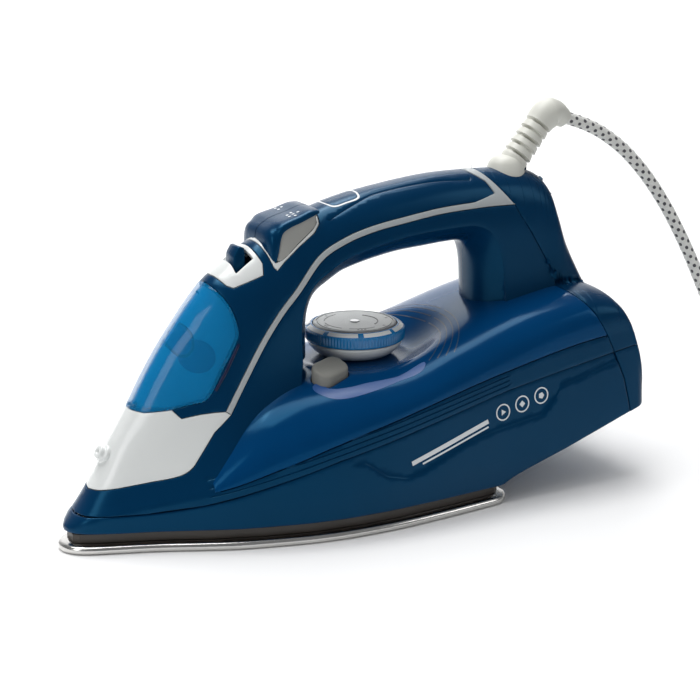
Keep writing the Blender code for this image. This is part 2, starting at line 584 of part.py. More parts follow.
def make_buttons(tools):
    cradle = ridge_loft("button_cradle", material("white_gloss", WHITE, 0.3), last=20)
    piece(cradle, CRADLE)
    top = [(-45.2, 134.5), (-44.8, 139), (-42.6, 143.2), (-39.3, 145.6), (-30, 148.4), (-22.3, 150.2),
           (-19.2, 149.8)]
    bottom = [(-20.5, 147.4), (-31.3, 140.2), (-42.6, 133)]
    well = [(x, z - BUTTON_TRAVEL - 0.5) for x, z in [(-18.7, 147.4)] + bottom]
    well += [(-45.6, 129.5), (-45.6, 165), (-18.7, 165)]
    for kind, sign in (("spray", 1), ("burst", -1)):
        low, high = sorted((sign * 0.3, sign * 13.6))
        button = prism(f"{kind}_button", top + bottom, low, high, material("navy_gloss", NAVY, 0.25))
        pump = (PUMP_X, sign * PUMP_Y, 0)
        move_origin(button, (PUMP_X, sign * PUMP_Y, 138))
        stem = [(3.9, 112), (3.9, 116), (1.8, 116), (1.8, 136.8)]
        turned(f"{kind}_plunger", stem, pump, material("plunger_white", WHITE, 0.4), sides=12)
        body = [(5.4, 95), (5.4, 121), (4.2, 121), (4.2, 97)]
        turned(f"{kind}_pump", body, pump, material("pump_white", WHITE, 0.45), sides=16)
        make_spring(f"{kind}_spring", pump, 97.3, 111.7)
        cut(cradle, turned(f"{kind}_stem_cutter", [(2.4, 118), (2.4, 150)], pump, sides=12))
    cut(cradle, prism("button_well_cutter", well, -13.9, 13.9))


def make_spring(name, centre, low, high):
    """A compression spring under a pump's piston."""
    turns, steps, radius = 5, 8, 2.9
    points = []
    for i in range(turns * steps + 1):
        angle = 2 * pi * i / steps
        rise = low + 0.4 + (high - low - 0.8) * i / (turns * steps)
        points.append((centre[0] + radius * cos(angle), centre[1] + radius * sin(angle), rise))
    pipe(name, points, 0.35, material("spring_steel", STEEL, 0.3, 1.0), sides=4)


# ---------------------------------------------------------------- handle


def make_handle_body(tools):
    """The underside of the handle and the front of its rear leg."""
    body = ridge_loft("handle_body", material("navy_gloss", NAVY, 0.25), first=-40, last=125)
    foot = beside(STRIP, -STRIP_HALF)[GRIP_START:]
    rear = list(reversed(UPPER_HEEL_SEAM[2:]))
    piece(body, [HANDLE_SPLIT] + foot + rear + [(111, 86), (50, 75), (HANDLE_SPLIT[0], 75)])
    cut(body, tools["inside"], tools["hole"], tools["tank_space"])


def make_grip(tools):
    """The top of the handle, with its soft inlay and the indicator's lens let in."""
    upper = beside(STRIP, STRIP_HALF)
    front = [(GRIP_FRONT, height_at(upper, GRIP_FRONT))]
    grip = ridge_loft("handle_grip", material("navy_gloss", NAVY, 0.25), first=-40, last=100)
    piece(grip, front + upper[GRIP_START + 1:-1] + list(reversed(GRIP_REAR)) + [(GRIP_FRONT, 165)])
    cut(grip, tools["inside"], room_for("cradle_behind", CRADLE), room_for("inlay", INLAY),
        room_for("lens", LENS))
    for name, outline, paint in (("grip_inlay", INLAY, material("soft_grip_navy", NAVY, 0.6)),
                                 ("indicator_lens", LENS, material("lens_navy", NAVY, 0.15))):
        part = piece(ridge_loft(name, paint, first=-40, last=100), outline)
        cut(part, tools["inside"])


def rear_mass(name, paint):
    """The heel of the tank's sections joined with the handle's rear leg."""
    heel = body_loft(name, tank_half_width, TANK_TOP, 84, HEEL_X, paint=paint, count=18)
    leg = body_loft(f"{name}_leg_cutter", ridge_half_width, RIDGE, 68, 128.6, low=84, count=14)
    boolean(heel, leg, "UNION")
    return heel


def make_rear_cover(tools):
    cover = rear_mass("rear_cover", material("navy_dark", NAVY, 0.3))
    piece(cover, UPPER_HEEL_SEAM + TRIM_REAR[1:] + [(170, 162)] + DIVIDE)
    swivel_hole = turned("swivel_hole_cutter", [(9.2, 148), (9.2, 165)], (SWIVEL_X, 0, 0), sides=20)
    cut(cover, tools["heel_inside"], tools["inside"], swivel_hole)
    rest = body_loft("heel_rest", tank_half_width, TANK_TOP, 84, HEEL_X,
                     paint=material("navy_dark", NAVY, 0.3), count=18)
    piece(rest, HEEL_SEAM + [(170, 15)] + DIVIDE)
    screw_bore = turned("heel_screw_cutter", [(3.2, -12), (3.2, 12)], (147, 0, 54), axis=(1, 0, 0.3),
                        sides=12)
    cut(rest, tools["heel_inside"], screw_bore)
    turned("heel_screw", [(1.4, -9), (1.4, -1.5), (2.9, -1.5), (2.9, 0.4)], (147, 0, 54),
           material("screw_steel", STEEL, 0.3, 1.0), axis=(1, 0, 0.3), sides=12)


# ---------------------------------------------------------------- controls


def make_dial():
    centre = (DIAL_X, 0, 0)
    turned("dial_base", [(14, 76.8), (19, 77.2), (22.6, 79), (23.6, DIAL_Z - GAP), (3.2, DIAL_Z - GAP),
                         (3.2, 76.8)], centre, material("white_gloss", WHITE, 0.3), sides=28, bored=True)
    z = DIAL_Z
    ring = [(22, z), (DIAL_R, z + 0.5), (DIAL_R, z + 5.4), (22, z + 7.4), (20.6, z + 7.4),
            (20.6, z + 5), (10, z + 5), (10, z)]
    turned("dial_ring", ring, centre, material("dial_blue", DIAL_BLUE, 0.35), sides=36,
           origin=(DIAL_X, 0, z), bored=True)
    turned("dial_cap", [(2.6, z + 5.3), (20.2, z + 5.3), (20.2, z + 7.6), (19.6, z + 8), (2.6, z + 8)],
           centre, material("dial_silver", SILVER, 0.35), sides=32, origin=(DIAL_X, 0, z), bored=True)
    turned("dial_shaft", [(2.2, 20.9), (2.2, z + 8.1)], centre, material("rod_steel", STEEL, 0.3, 1.0),
           sides=12, origin=(DIAL_X, 0, z))


def make_calc_button():
    """The descaling button, with the stem that reaches down through the tank."""
    outline = rounded_outline(CALC_AT, *CALC_SIZE, 4, CALC_TURN)
    button = plate("calc_button", outline, CALC_LOW, CALC_LOW + 6, material("button_grey", GREY, 0.5),
                   (*CALC_AT, CALC_LOW))
    stem = turned("calc_stem_cutter", [(1.8, 60), (1.8, CALC_LOW + 1.4)], (*CALC_AT, 0), sides=10)
    boolean(button, stem, "UNION")


def make_nozzle():
    axis = (-0.87, 0, 0.5)
    turned("spray_nozzle", [(2.9, -8), (2.9, 3.4), (1.4, 4), (0.7, 3.2), (0.7, -8)],
           (-127, 0, 43.6), material("white_gloss", WHITE, 0.3), axis=axis, sides=16, bored=True)


# ---------------------------------------------------------------- inside


def make_insides():
    hose = material("silicone_hose", (0.75, 0.75, 0.7), 0.5)
    spray = [(PUMP_X, 6.6, 93.6), (PUMP_X, 6.8, 91), (-36, 7.5, 86), (-50, 8, 80), (-72, 7, 69),
             (-92, 5, 57), (-108, 2, 45), (-117.5, 0, 38.8)]
    pipe("spray_hose", spray, 1.4, hose, sides=6)
    burst = [(PUMP_X, -6.6, 93.6), (PUMP_X, -6.8, 91), (-36, -7.5, 86), (-52, -8.5, 79), (-74, -8.5, 66),
             (-95, -5, 48), (-97, 0, 38), (-92, 4, 29), (-85, 5, 22.5), (-84, 5, 12.6)]
    pipe("burst_hose", burst, 1.4, hose, sides=6)
    turned("swivel_socket", [(7.6, 136), (7.6, 145), (6.2, 145), (6.2, 138), (4.9, 138), (4.9, 136)],
           (SWIVEL_X, 0, 0), material("socket_grey", GREY, 0.5), sides=20, bored=True)
    plate("terminal_block", [(110, -14), (122, -14), (122, 14), (110, 14)], 42, 58,
          material("ceramic_white", WHITE, 0.5))
    lead = [(SWIVEL_X, 0, 135.4), (99, 0, 127), (110, 0, 112), (119, 0, 98), (126.5, 0, 84),
            (132, 0, 73), (127, 0, 65), (116, 0, 61.2)]
    pipe("inner_lead", lead, 2.6, material("lead_black", DARK, 0.5), sides=8)


# ---------------------------------------------------------------- mains lead

CORD_ROUTE = [(131.5, 0, 177), (142.5, 0, 173), (154, -0.5, 167), (167, -2, 157), (180, -4.5, 142.5),
              (192, -8, 124), (203, -12, 102), (213, -16, 78), (224, -20, 53), (237, -24, 30),
              (252, -26.5, 13), (264, -27.5, 5.5), (276, -27.75, 4)]
COIL_CENTRE, COIL_INNER, COIL_OUTER = (300.0, 15.0), 26.0, 46.0
COIL_LOW, COIL_HIGH = 1.3, 14.5
PLUG_START, PLUG_Y, PLUG_Z = 326.6, -27.7, 7.0


def make_swivel():
    pale = material("bushing_white", (0.72, 0.72, 0.68), 0.45)
    dome = [(4.4, 141), (4.4, 150.5), (8.7, 150.5), (8.7, 154)]
    dome += [(8.7 * cos(radians(a)), 154 + 8.2 * sin(radians(a))) for a in (25, 50, 70)] + [(0.6, 162.2)]
    turned("cord_swivel", dome, (SWIVEL_X, 0, 0), pale, sides=20, origin=(SWIVEL_X, 0, SWIVEL_Z))
    path = [(100.3, 0, 160.9), (104, 0, 165.2), (109, 0, 171.2), (114, 0, 176.6), (119, 0, 180.2),
            (124.6, 0, 180.6), (131, 0, 177.4)]
    rings = tapered_rings(path, (5.4, 6.9, 6.9, 6.9, 7.4, 8.2, 6.2), 12)
    mesh_object("cord_bushing", *bridged(rings), pale)


def tapered_rings(path, radii, sides):
    rings = []
    for i, (x, y, z) in enumerate(path):
        a, b = path[max(i - 1, 0)], path[min(i + 1, len(path) - 1)]
        dx, dz = b[0] - a[0], b[2] - a[2]
        size = hypot(dx, dz)
        up = (-dz / size, dx / size)
        turns = [2 * pi * k / sides for k in range(sides)]
        r = radii[i]
        rings.append([(x + up[0] * r * cos(t), y + r * sin(t), z + up[1] * r * cos(t)) for t in turns])
    return rings


def make_cord():
    braid = material("cord_braid", (0.7, 0.7, 0.66), 0.8)
    curve = bpy.data.curves.new("mains_cord", "CURVE")
    curve.dimensions = "3D"
    curve.bevel_depth = CORD_R * MM
    curve.bevel_resolution = 2
    curve.use_fill_caps = True
    line = curve.splines.new("POLY")
    points = sampled(CORD_ROUTE, 26)
    line.points.add(len(points) - 1)
    for slot, point in zip(line.points, points):
        slot.co = (*(Vector(point) * MM), 1)
    tube = bpy.data.objects.new("mains_cord", curve)
    curve.materials.append(braid)
    bpy.context.scene.collection.objects.link(tube)
    low, high, inner, outer = COIL_LOW, COIL_HIGH, COIL_INNER, COIL_OUTER
    section = [(inner, low + 2), (inner + 2, low), (outer - 2, low), (outer, low + 2), (outer, high - 2),
               (outer - 2, high), (inner + 2, high), (inner, high - 2)]
    turned("cord_coil", section, (*COIL_CENTRE, 0), braid, sides=28, origin=(0, 0, 0), bored=True)


def sampled(route, count):
    """Points on a smooth curve through a route."""
    ends = [Vector(route[0])] + [Vector(p) for p in route] + [Vector(route[-1])]
    fine = []
    for p, q, r, s in zip(ends, ends[1:], ends[2:], ends[3:]):
        for i in range(8):
            t = i / 8
            bend = (2 * p - 5 * q + 4 * r - s) * t**2 + (3 * q - p - 3 * r + s) * t**3
            fine.append(tuple(q + ((r - p) * t + bend) / 2))
    fine.append(tuple(route[-1]))
    return [fine[round(i * (len(fine) - 1) / count)] for i in range(count + 1)]


def make_tie_and_plug():
    x, y = COIL_CENTRE[0], COIL_CENTRE[1]
    inner, outer = COIL_INNER - 1.9, COIL_OUTER + 1.2
    band = prism("cord_tie", [(x - 4, 0.1), (x + 4, 0.1), (x + 4, COIL_HIGH + 1.2), (x - 4, COIL_HIGH + 1.2)],
                 y + inner, y + outer, material("tie_black", DARK, 0.5))
    cut(band, prism("tie_inside_cutter", [(x - 9, 0.95), (x + 9, 0.95), (x + 9, COIL_HIGH + 0.35),
                                          (x - 9, COIL_HIGH + 0.35)], y + inner + 0.8, y + outer - 0.8))
    white = material("plug_white", (0.7, 0.7, 0.66), 0.45)
    start, py, pz = PLUG_START, PLUG_Y, PLUG_Z
    relief = [(4.4, 0), (4.8, 22)]
    outline = rounded_outline((start + 18 + 17, py), 34, 26, 7, 0)
    plug = plate("plug_body", outline, 0.6, 13.4, white)
    boolean(plug, turned("plug_relief_cutter", relief, (start, py, pz), axis=(1, 0, 0), sides=12), "UNION")
    for name, side in (("left", 1), ("right", -1)):
        turned(f"plug_pin_{name}", [(2.1, 0), (2.1, 18), (1.2, 19)], (start + 52.6, py + side * 9.5, pz),
               material("pin_nickel", STEEL, 0.25, 1.0), axis=(1, 0, 0), sides=10)


def make_screws():
    for name, x, y in (("front", -96, 9), ("left", 34, -40), ("right", 34, 40)):
        turned(f"shield_screw_{name}", [(2.4, 22.3), (2.4, 24.2), (0.9, 24.6)], (x, y, 0),
               material("screw_steel", STEEL, 0.3, 1.0), sides=10)


def main():
    for obj in list(bpy.data.objects):
        bpy.data.objects.remove(obj, do_unlink=True)
    tools = make_cutters()
    make_soleplate()
    make_heater()
    make_heat_shield()
    make_skirt(tools)
    make_upper_housing(tools)
    make_tank(tools)
    make_tank_base(tools)
    make_nose_cover(tools)
    make_trim(tools)
    make_front_cover(tools)
    make_lid(tools)
    make_funnel()
    make_bezel_and_lever(tools)
    make_buttons(tools)
    make_handle_body(tools)
    make_grip(tools)
    make_rear_cover(tools)
    make_dial()
    make_calc_button()
    make_nozzle()
    make_insides()
    make_swivel()
    make_cord()
    make_tie_and_plug()
    make_screws()


main()
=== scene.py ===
"""The looks of the steam iron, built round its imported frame.

Lengths below are in millimetres, in the frame's own axes: the nose points along -X, the heel along
+X, the near side is -Y and the sole rests on z = 0. Meshes are made in metres.
"""

import json
from math import cos, hypot, pi, radians, sin, sqrt

import bmesh
import bpy
import numpy as np
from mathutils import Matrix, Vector
from mathutils.geometry import delaunay_2d_cdt


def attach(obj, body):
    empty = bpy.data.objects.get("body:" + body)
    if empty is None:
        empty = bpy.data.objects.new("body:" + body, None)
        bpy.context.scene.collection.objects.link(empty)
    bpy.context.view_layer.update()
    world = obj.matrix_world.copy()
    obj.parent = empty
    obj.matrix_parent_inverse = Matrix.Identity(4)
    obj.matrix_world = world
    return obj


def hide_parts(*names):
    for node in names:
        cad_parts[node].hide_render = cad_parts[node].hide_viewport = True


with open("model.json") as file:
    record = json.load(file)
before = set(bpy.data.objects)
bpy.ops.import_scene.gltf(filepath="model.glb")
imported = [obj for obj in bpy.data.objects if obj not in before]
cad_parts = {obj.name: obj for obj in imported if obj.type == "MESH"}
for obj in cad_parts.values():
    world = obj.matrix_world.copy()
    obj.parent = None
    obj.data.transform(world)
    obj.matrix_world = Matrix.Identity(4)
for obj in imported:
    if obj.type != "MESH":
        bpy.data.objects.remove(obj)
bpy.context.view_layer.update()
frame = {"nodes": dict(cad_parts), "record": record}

MM = 0.001

# Driving dimensions, the same as the frame's
NOSE_X, HEEL_X, HEEL_CORNER = -147.5, 150.0, 6.0
SOLE_FRONT, SOLE_REAR, SOLE_THICK = -150.0, 68.0, 4.0
DIAL_X, DIAL_Z = 7.0, 80.6
CALC_AT, CALC_TURN, CALC_FOOT = (-21.0, -25.0), 18, 72.6 - 2.3
CALC_PLAN = (18.5, 12)
SWIVEL_X = 93.5
CORD_R = 3.25
PLAN = [(-147.5, 0), (-143, 8.5), (-128, 16.5), (-111, 23.5), (-95, 31), (-78, 39), (-60, 45),
        (-42, 50), (-22, 53), (-1, 54), (22, 53.4), (47, 52), (66, 51), (100, 50.4), (150, 50)]
SOLE_PLAN = [(-150, 0), (-145, 10), (-128, 18), (-111, 25), (-95, 33), (-78, 41), (-60, 47),
             (-42, 52), (-22, 55), (-1, 56), (22, 55), (47, 53), (68, 51)]
UNDERSIDE = [(-147.5, 9.5), (60, 9.5), (68, 12.5), (100, 22), (150, 37.5)]
WALL_TOP = [(-147.5, 11), (-140, 16), (-120, 20), (-100, 24.5), (-80, 29.5), (-57, 37),
            (-29, 46), (3, 53.6), (60, 65.4), (127, 75.5), (139, 76), (150, 40)]
TANK_TOP = [(-147.5, 11.5), (-100, 25), (-92, 31), (-80, 46), (-65, 60.5), (-56, 66), (-40, 71),
            (-20, 73.5), (7, 75), (40, 83), (91, 95), (120, 98), (131, 96), (136, 91),
            (140.5, 82), (144.5, 71), (148, 59), (149.6, 48), (150, 41)]
RIDGE = [(-147.5, 12), (-142, 18), (-135, 28.5), (-122, 51), (-114, 63.5), (-105, 79), (-97, 91),
         (-88, 102.5), (-80, 112), (-71.5, 120.5), (-60, 128.5), (-50, 134.5), (-40, 139),
         (-25, 144.5), (-11, 149), (19, 154.5), (55, 157.4), (83, 156.6), (100, 155), (107, 153),
         (112.5, 148.5), (116, 139), (120, 126), (128.5, 107), (134.5, 94), (150, 46)]
COLUMN_SHARE = [(-140, 0.7), (-120, 0.62), (-100, 0.6), (-80, 0.56), (-60, 0.5), (-35, 0.42),
                (0, 0.385), (105, 0.4), (128, 0.45)]
NARROWING = [(-140, 2), (-120, 2.5), (-100, 3), (-80, 4), (-60, 6), (-35, 8), (0, 10)]
RIDGE_POWER = [(-140, 2.2), (-120, 2.3), (-100, 2.6), (-80, 3.4), (-60, 5), (-35, 7.5), (0, 9),
               (105, 8), (128, 5)]
TANK_POWER = [(-90, 2.2), (7, 2.4), (95, 3.3), (131, 4), (140, 6), (150, 8)]

# Parting lines in side view
SEAM = [(-160, 17.5), (-115, 18.5), (-92, 21.5), (-66, 28), (-30, 38), (12, 46.5), (66, 57), (130, 66.5)]
HEEL_SEAM = [(130, 66.5), (136, 52.5), (139, 39.5), (141, 25)]
UPPER_HEEL_SEAM = [(130, 66.5), (125.5, 76), (118.5, 87.5), (112, 97), (111, 104), (97, 127),
                   (91.5, 135), (88.5, 140.5)]
COVER_EDGE = [(-160, 25), (-135, 28.5), (-112, 32.5), (-99.5, 35), (-94, 38), (-89.5, 43.5), (-82, 53.5)]
STRIP = [(-93, 37.5), (-83.5, 50), (-74.5, 61.5), (-64, 77), (-53.5, 92.5), (-44.5, 103.5),
         (-35.5, 112.5), (-22, 127), (-8.5, 133.5), (7, 137.5), (26, 140), (46, 142), (65, 142.5),
         (76, 142.5)]
STRIP_HALF = 1.5
TRIM_REAR = [(88.5, 140.5), (82, 148), (74.5, 157), (73, 162)]
GRIP_REAR = [(67, 162), (68, 157.5), (74.5, 152.5), (77.5, 147)]
FRAME_EDGE = [(-99, 64.5), (-95.5, 60.5), (-87.5, 62), (-81, 62.5)]
LID_FOOT = [(-110, 63), (-113.5, 63.5), (-140, 63.5)]
LID_SIDE = [(-99, 64.5), (-91, 66.5), (-83.5, 68.5), (-75.5, 80.5), (-67, 94), (-66, 98), (-67, 105.5),
            (-69.5, 112), (-73.5, 118), (-77, 122)]
BEZEL = [(-76, 128), (-70, 121), (-67.5, 118), (-65, 117), (-51, 122), (-50, 127), (-51.5, 132), (-55, 142)]
CRADLE = [(-53, 143), (-48.5, 135.5), (-47, 131), (-45.5, 125), (-44, 123.5), (-40, 127), (-31.5, 133),
          (-22.5, 138.5), (-19, 142), (-18, 145), (-16, 156)]
ARCH = [(-23.5, 78), (-23.5, 92), (-22.5, 100), (-19.5, 106.5), (-13, 111), (-3, 116), (22, 121),
        (44, 122.5), (57, 123), (64, 122.5), (67.5, 119.5), (70, 112), (71, 100), (71.5, 84)]
DIVIDE = [(170, 71.8), (141, 68)]
TANK_ENDS = (-88.0, 130.0)
SEAT_Z, SEAT_R, SEAT_BEND, SEAT_RISE, SEAT_BLEND = 72.4, 25.5, 14, 1.1, 0.9  # under the dial
LEG_END = 133  # the handle's leg ends here
FLARE, FLARE_AT, FLARE_LIMIT, FLARE_POWER = 8.5, 17.0, 18.5, 2.4

# The shells' finish
SEAM_GAP = 0.15  # half of the gap between neighbours
ROUND = 0.35  # radius of a shell's edge
SHELL = 2.0  # thickness of a shell


# ---------------------------------------------------------------- curves


def smooth(points, x):
    """The value at x of a smooth curve through (x, value) points that never overshoots them."""
    xs, ys = [p[0] for p in points], [p[1] for p in points]
    steps = [b - a for a, b in zip(xs, xs[1:])]
    rises = [(b - a) / h for a, b, h in zip(ys, ys[1:], steps)]
    slopes = [rises[0]] + [0.0] * (len(xs) - 2) + [rises[-1]]
    for i in range(1, len(xs) - 1):
        if rises[i - 1] * rises[i] > 0:
            before, after = 2 * steps[i] + steps[i - 1], steps[i] + 2 * steps[i - 1]
            slopes[i] = (before + after) / (before / rises[i - 1] + after / rises[i])
    x = min(max(x, xs[0]), xs[-1])
    i = max(k for k in range(len(steps)) if xs[k] <= x)
    t = (x - xs[i]) / steps[i]
    start = ys[i] * (1 + 2 * t) * (1 - t) ** 2 + steps[i] * slopes[i] * t * (1 - t) ** 2
    end = ys[i + 1] * t * t * (3 - 2 * t) + steps[i] * slopes[i + 1] * t * t * (t - 1)
    return start + end


def rounded_plan(points, tip, x):
    """Half width at x of an outline whose tip is round: its width grows as a square root."""
    stretched = [(sqrt(a - tip), width) for a, width in points]
    return smooth(stretched, sqrt(max(x - tip, 0)))


def skirt_half_width(x):
    width = rounded_plan(PLAN, NOSE_X, x)
    past = x - (HEEL_X - HEEL_CORNER)
    if past > 0:
        width -= HEEL_CORNER - sqrt(max(HEEL_CORNER**2 - past**2, 0))
    return width


def sole_half_width(x):
    width = rounded_plan(SOLE_PLAN, SOLE_FRONT, x)
    corner = 11.0
    past = x - (SOLE_REAR - corner)
    if past > 0:
        width -= corner - sqrt(max(corner**2 - past**2, 0))
    return width


def curved(points, step=1.0, closed=False):
    """Points along a smooth curve through the given ones, of any number of coordinates."""
    ends = [points[-1], *points, points[0], points[1]] if closed else [points[0], *points, points[-1]]
    line = []
    for p, q, r, s in zip(ends, ends[1:], ends[2:], ends[3:]):
        p, q, r, s = (np.array(a, float) for a in (p, q, r, s))
        count = max(int(np.linalg.norm(r - q) / step), 1)
        pull = 0.5 * np.linalg.norm(r - q)
        leave = (r - p) / max(np.linalg.norm(r - p), 1e-9) * pull * 2
        arrive = (s - q) / max(np.linalg.norm(s - q), 1e-9) * pull * 2
        for i in range(count):
            t = i / count
            line.append(q * (1 + 2 * t) * (1 - t) ** 2 + leave * t * (1 - t) ** 2
                        + r * t * t * (3 - 2 * t) + arrive * t * t * (t - 1))
    if not closed:
        line.append(np.array(points[-1], float))
    return [tuple(map(float, p)) for p in line]


def dense(outline, step=0.4, closed=True):
    """The same polygon with points at least every step along it."""
    line = []
    pairs = zip(outline, outline[1:] + outline[:1] if closed else outline[1:])
    for a, b in pairs:
        count = max(int(hypot(b[0] - a[0], b[1] - a[1]) / step), 1)
        line += [(a[0] + (b[0] - a[0]) * i / count, a[1] + (b[1] - a[1]) * i / count) for i in range(count)]
    return line if closed else line + [outline[-1]]


def beside(line, distance):
    """A line of (x, z) points moved sideways: a positive distance moves it to the upper left."""
    moved = []
    for i, (x, z) in enumerate(line):
        a, b = line[max(i - 1, 0)], line[min(i + 1, len(line) - 1)]
        dx, dz = b[0] - a[0], b[1] - a[1]
        size = max(hypot(dx, dz), 1e-9)
        moved.append((x - dz / size * distance, z + dx / size * distance))
    return moved


def grown(outline, distance):
    """A closed outline moved outwards by a distance, whichever way round it runs."""
    area = sum(a[0] * b[1] - b[0] * a[1] for a, b in zip(outline, outline[1:] + outline[:1]))
    closed = [outline[-1]] + outline + [outline[0]]
    return beside(closed, -distance if area > 0 else distance)[1:-1]


def rounded_outline(centre, length, width, corner, turn=0, steps=8):
    """A plan outline with round corners, turned by an angle in degrees."""
    points = []
    for quarter, (sx, sy) in enumerate(((1, 1), (-1, 1), (-1, -1), (1, -1))):
        cx, cy = sx * (length / 2 - corner), sy * (width / 2 - corner)
        for i in range(steps + 1):
            angle = (quarter + i / steps) * pi / 2
            points.append((cx + corner * cos(angle), cy + corner * sin(angle)))
    a = radians(turn)
    return [(centre[0] + x * cos(a) - y * sin(a), centre[1] + x * sin(a) + y * cos(a)) for x, y in points]


def outline_of(half_width, first, last, inset, count=90):
    """A closed plan outline at an inset from a half-width curve."""
    reach, middle = (last - first) / 2 - inset, (first + last) / 2
    near = []
    for i in range(count + 1):
        x = middle - reach * cos(pi * i / count)
        skew = half_width(min(x + 1, last)) - half_width(max(x - 1, first))
        near.append((x, max(half_width(x) - inset * min(hypot(1, skew / 2), 1.5), 0.5)))
    return [(x, -y) for x, y in near] + [(x, y) for x, y in reversed(near)]


# ---------------------------------------------------------------- the body's surfaces

TABLE_X = (NOSE_X + HEEL_X) / 2 - (HEEL_X - NOSE_X) / 2 * np.cos(np.linspace(0, pi, 1601))


def tabulated(rule):
    """A rule or a list of points, read once all along the iron and then looked up."""
    values = np.array([rule(x) if callable(rule) else smooth(rule, x) for x in TABLE_X])
    return lambda x: np.interp(x, TABLE_X, values)


SKIRT_WIDTH, WALL_HEIGHT, FLOOR = map(tabulated, (skirt_half_width, WALL_TOP, UNDERSIDE))
TANK_HEIGHT, RIDGE_HEIGHT, TANK_SQUARE = map(tabulated, (TANK_TOP, RIDGE, TANK_POWER))
COLUMN, NARROW, RIDGE_SQUARE = map(tabulated, (COLUMN_SHARE, NARROWING, RIDGE_POWER))


def wall_half_width(x, z):
    """The upright wall leans in a little above its widest line."""
    return SKIRT_WIDTH(x) - 0.07 * np.maximum(np.minimum(z, WALL_HEIGHT(x)) - 22, 0)


def tank_half_width(x, z):
    base, top = WALL_HEIGHT(x), TANK_HEIGHT(x)
    share = np.clip((z - base) / (top - base), 0, 1)
    return wall_half_width(x, z) * (1 - share ** TANK_SQUARE(x)) ** (1 / TANK_SQUARE(x))


def ridge_half_width(x, z):
    base, top = WALL_HEIGHT(x), RIDGE_HEIGHT(x)
    share = np.clip((z - base) / (top - base), 0, 1)
    bell = COLUMN(x) + (1 - COLUMN(x)) * np.exp(-NARROW(x) * share)
    return wall_half_width(x, z) * bell * np.sqrt(1 - share ** RIDGE_SQUARE(x))


def section_heights(x, top):
    """Heights up a section, ever closer together towards its crown."""
    low = np.linspace(FLOOR(x), WALL_HEIGHT(x), 60)
    crown = 1 - (1 - np.linspace(0, 1, 340)) ** 2
    return np.concatenate([low, (WALL_HEIGHT(x) + crown * (top - WALL_HEIGHT(x)))[1:]])


def ridge_section(x):
    z = section_heights(x, RIDGE_HEIGHT(x))
    return np.column_stack([ridge_half_width(x, z), z])


def tank_section(x):
    """The tank sinks to a flat seat under the dial."""
    z = section_heights(x, TANK_HEIGHT(x))
    y = tank_half_width(x, z)
    past = np.hypot(x - DIAL_X, y) - SEAT_R
    seat = SEAT_Z + np.where(past > 0, past**2 / (past + SEAT_BEND) * SEAT_RISE, 0)
    return np.column_stack([y, -np.logaddexp(-z * SEAT_BLEND, -seat * SEAT_BLEND) / SEAT_BLEND])


def rear_section(x):
    """The heel's section with the handle's leg standing on it, and a hollow where they meet."""
    heel, leg = tank_section(x), ridge_section(x)
    if x > LEG_END or leg[-1, 1] <= heel[-1, 1]:
        return heel
    y_heel = np.interp(leg[:, 1], heel[:, 1], heel[:, 0], right=0)
    stands = (leg[:, 0] > y_heel) & (leg[:, 1] > WALL_HEIGHT(x) + 4)
    first = int(np.argmax(stands))
    below = heel[heel[:, 1] < leg[first, 1]]
    whole = evenly(np.vstack([below, leg[first:]]), 500)
    blurred = whole.copy()
    reach = 14
    sums = np.vstack([[0, 0], np.cumsum(whole, axis=0)])
    blurred[reach:-reach] = (sums[2 * reach + 1:] - sums[:-2 * reach - 1]) / (2 * reach + 1)
    corner = np.abs(np.arange(len(whole)) - np.argmin(np.hypot(*(whole - leg[first]).T)))
    share = np.clip((90 - corner) / 50, 0, 1)[:, None]
    return whole * (1 - share) + blurred * share


def evenly(line, count):
    """A section's points moved to even spacing along it."""
    run = np.concatenate([[0], np.cumsum(np.hypot(*np.diff(line, axis=0).T))])
    at = np.linspace(0, run[-1], count)
    return np.column_stack([np.interp(at, run, line[:, 0]), np.interp(at, run, line[:, 1])])


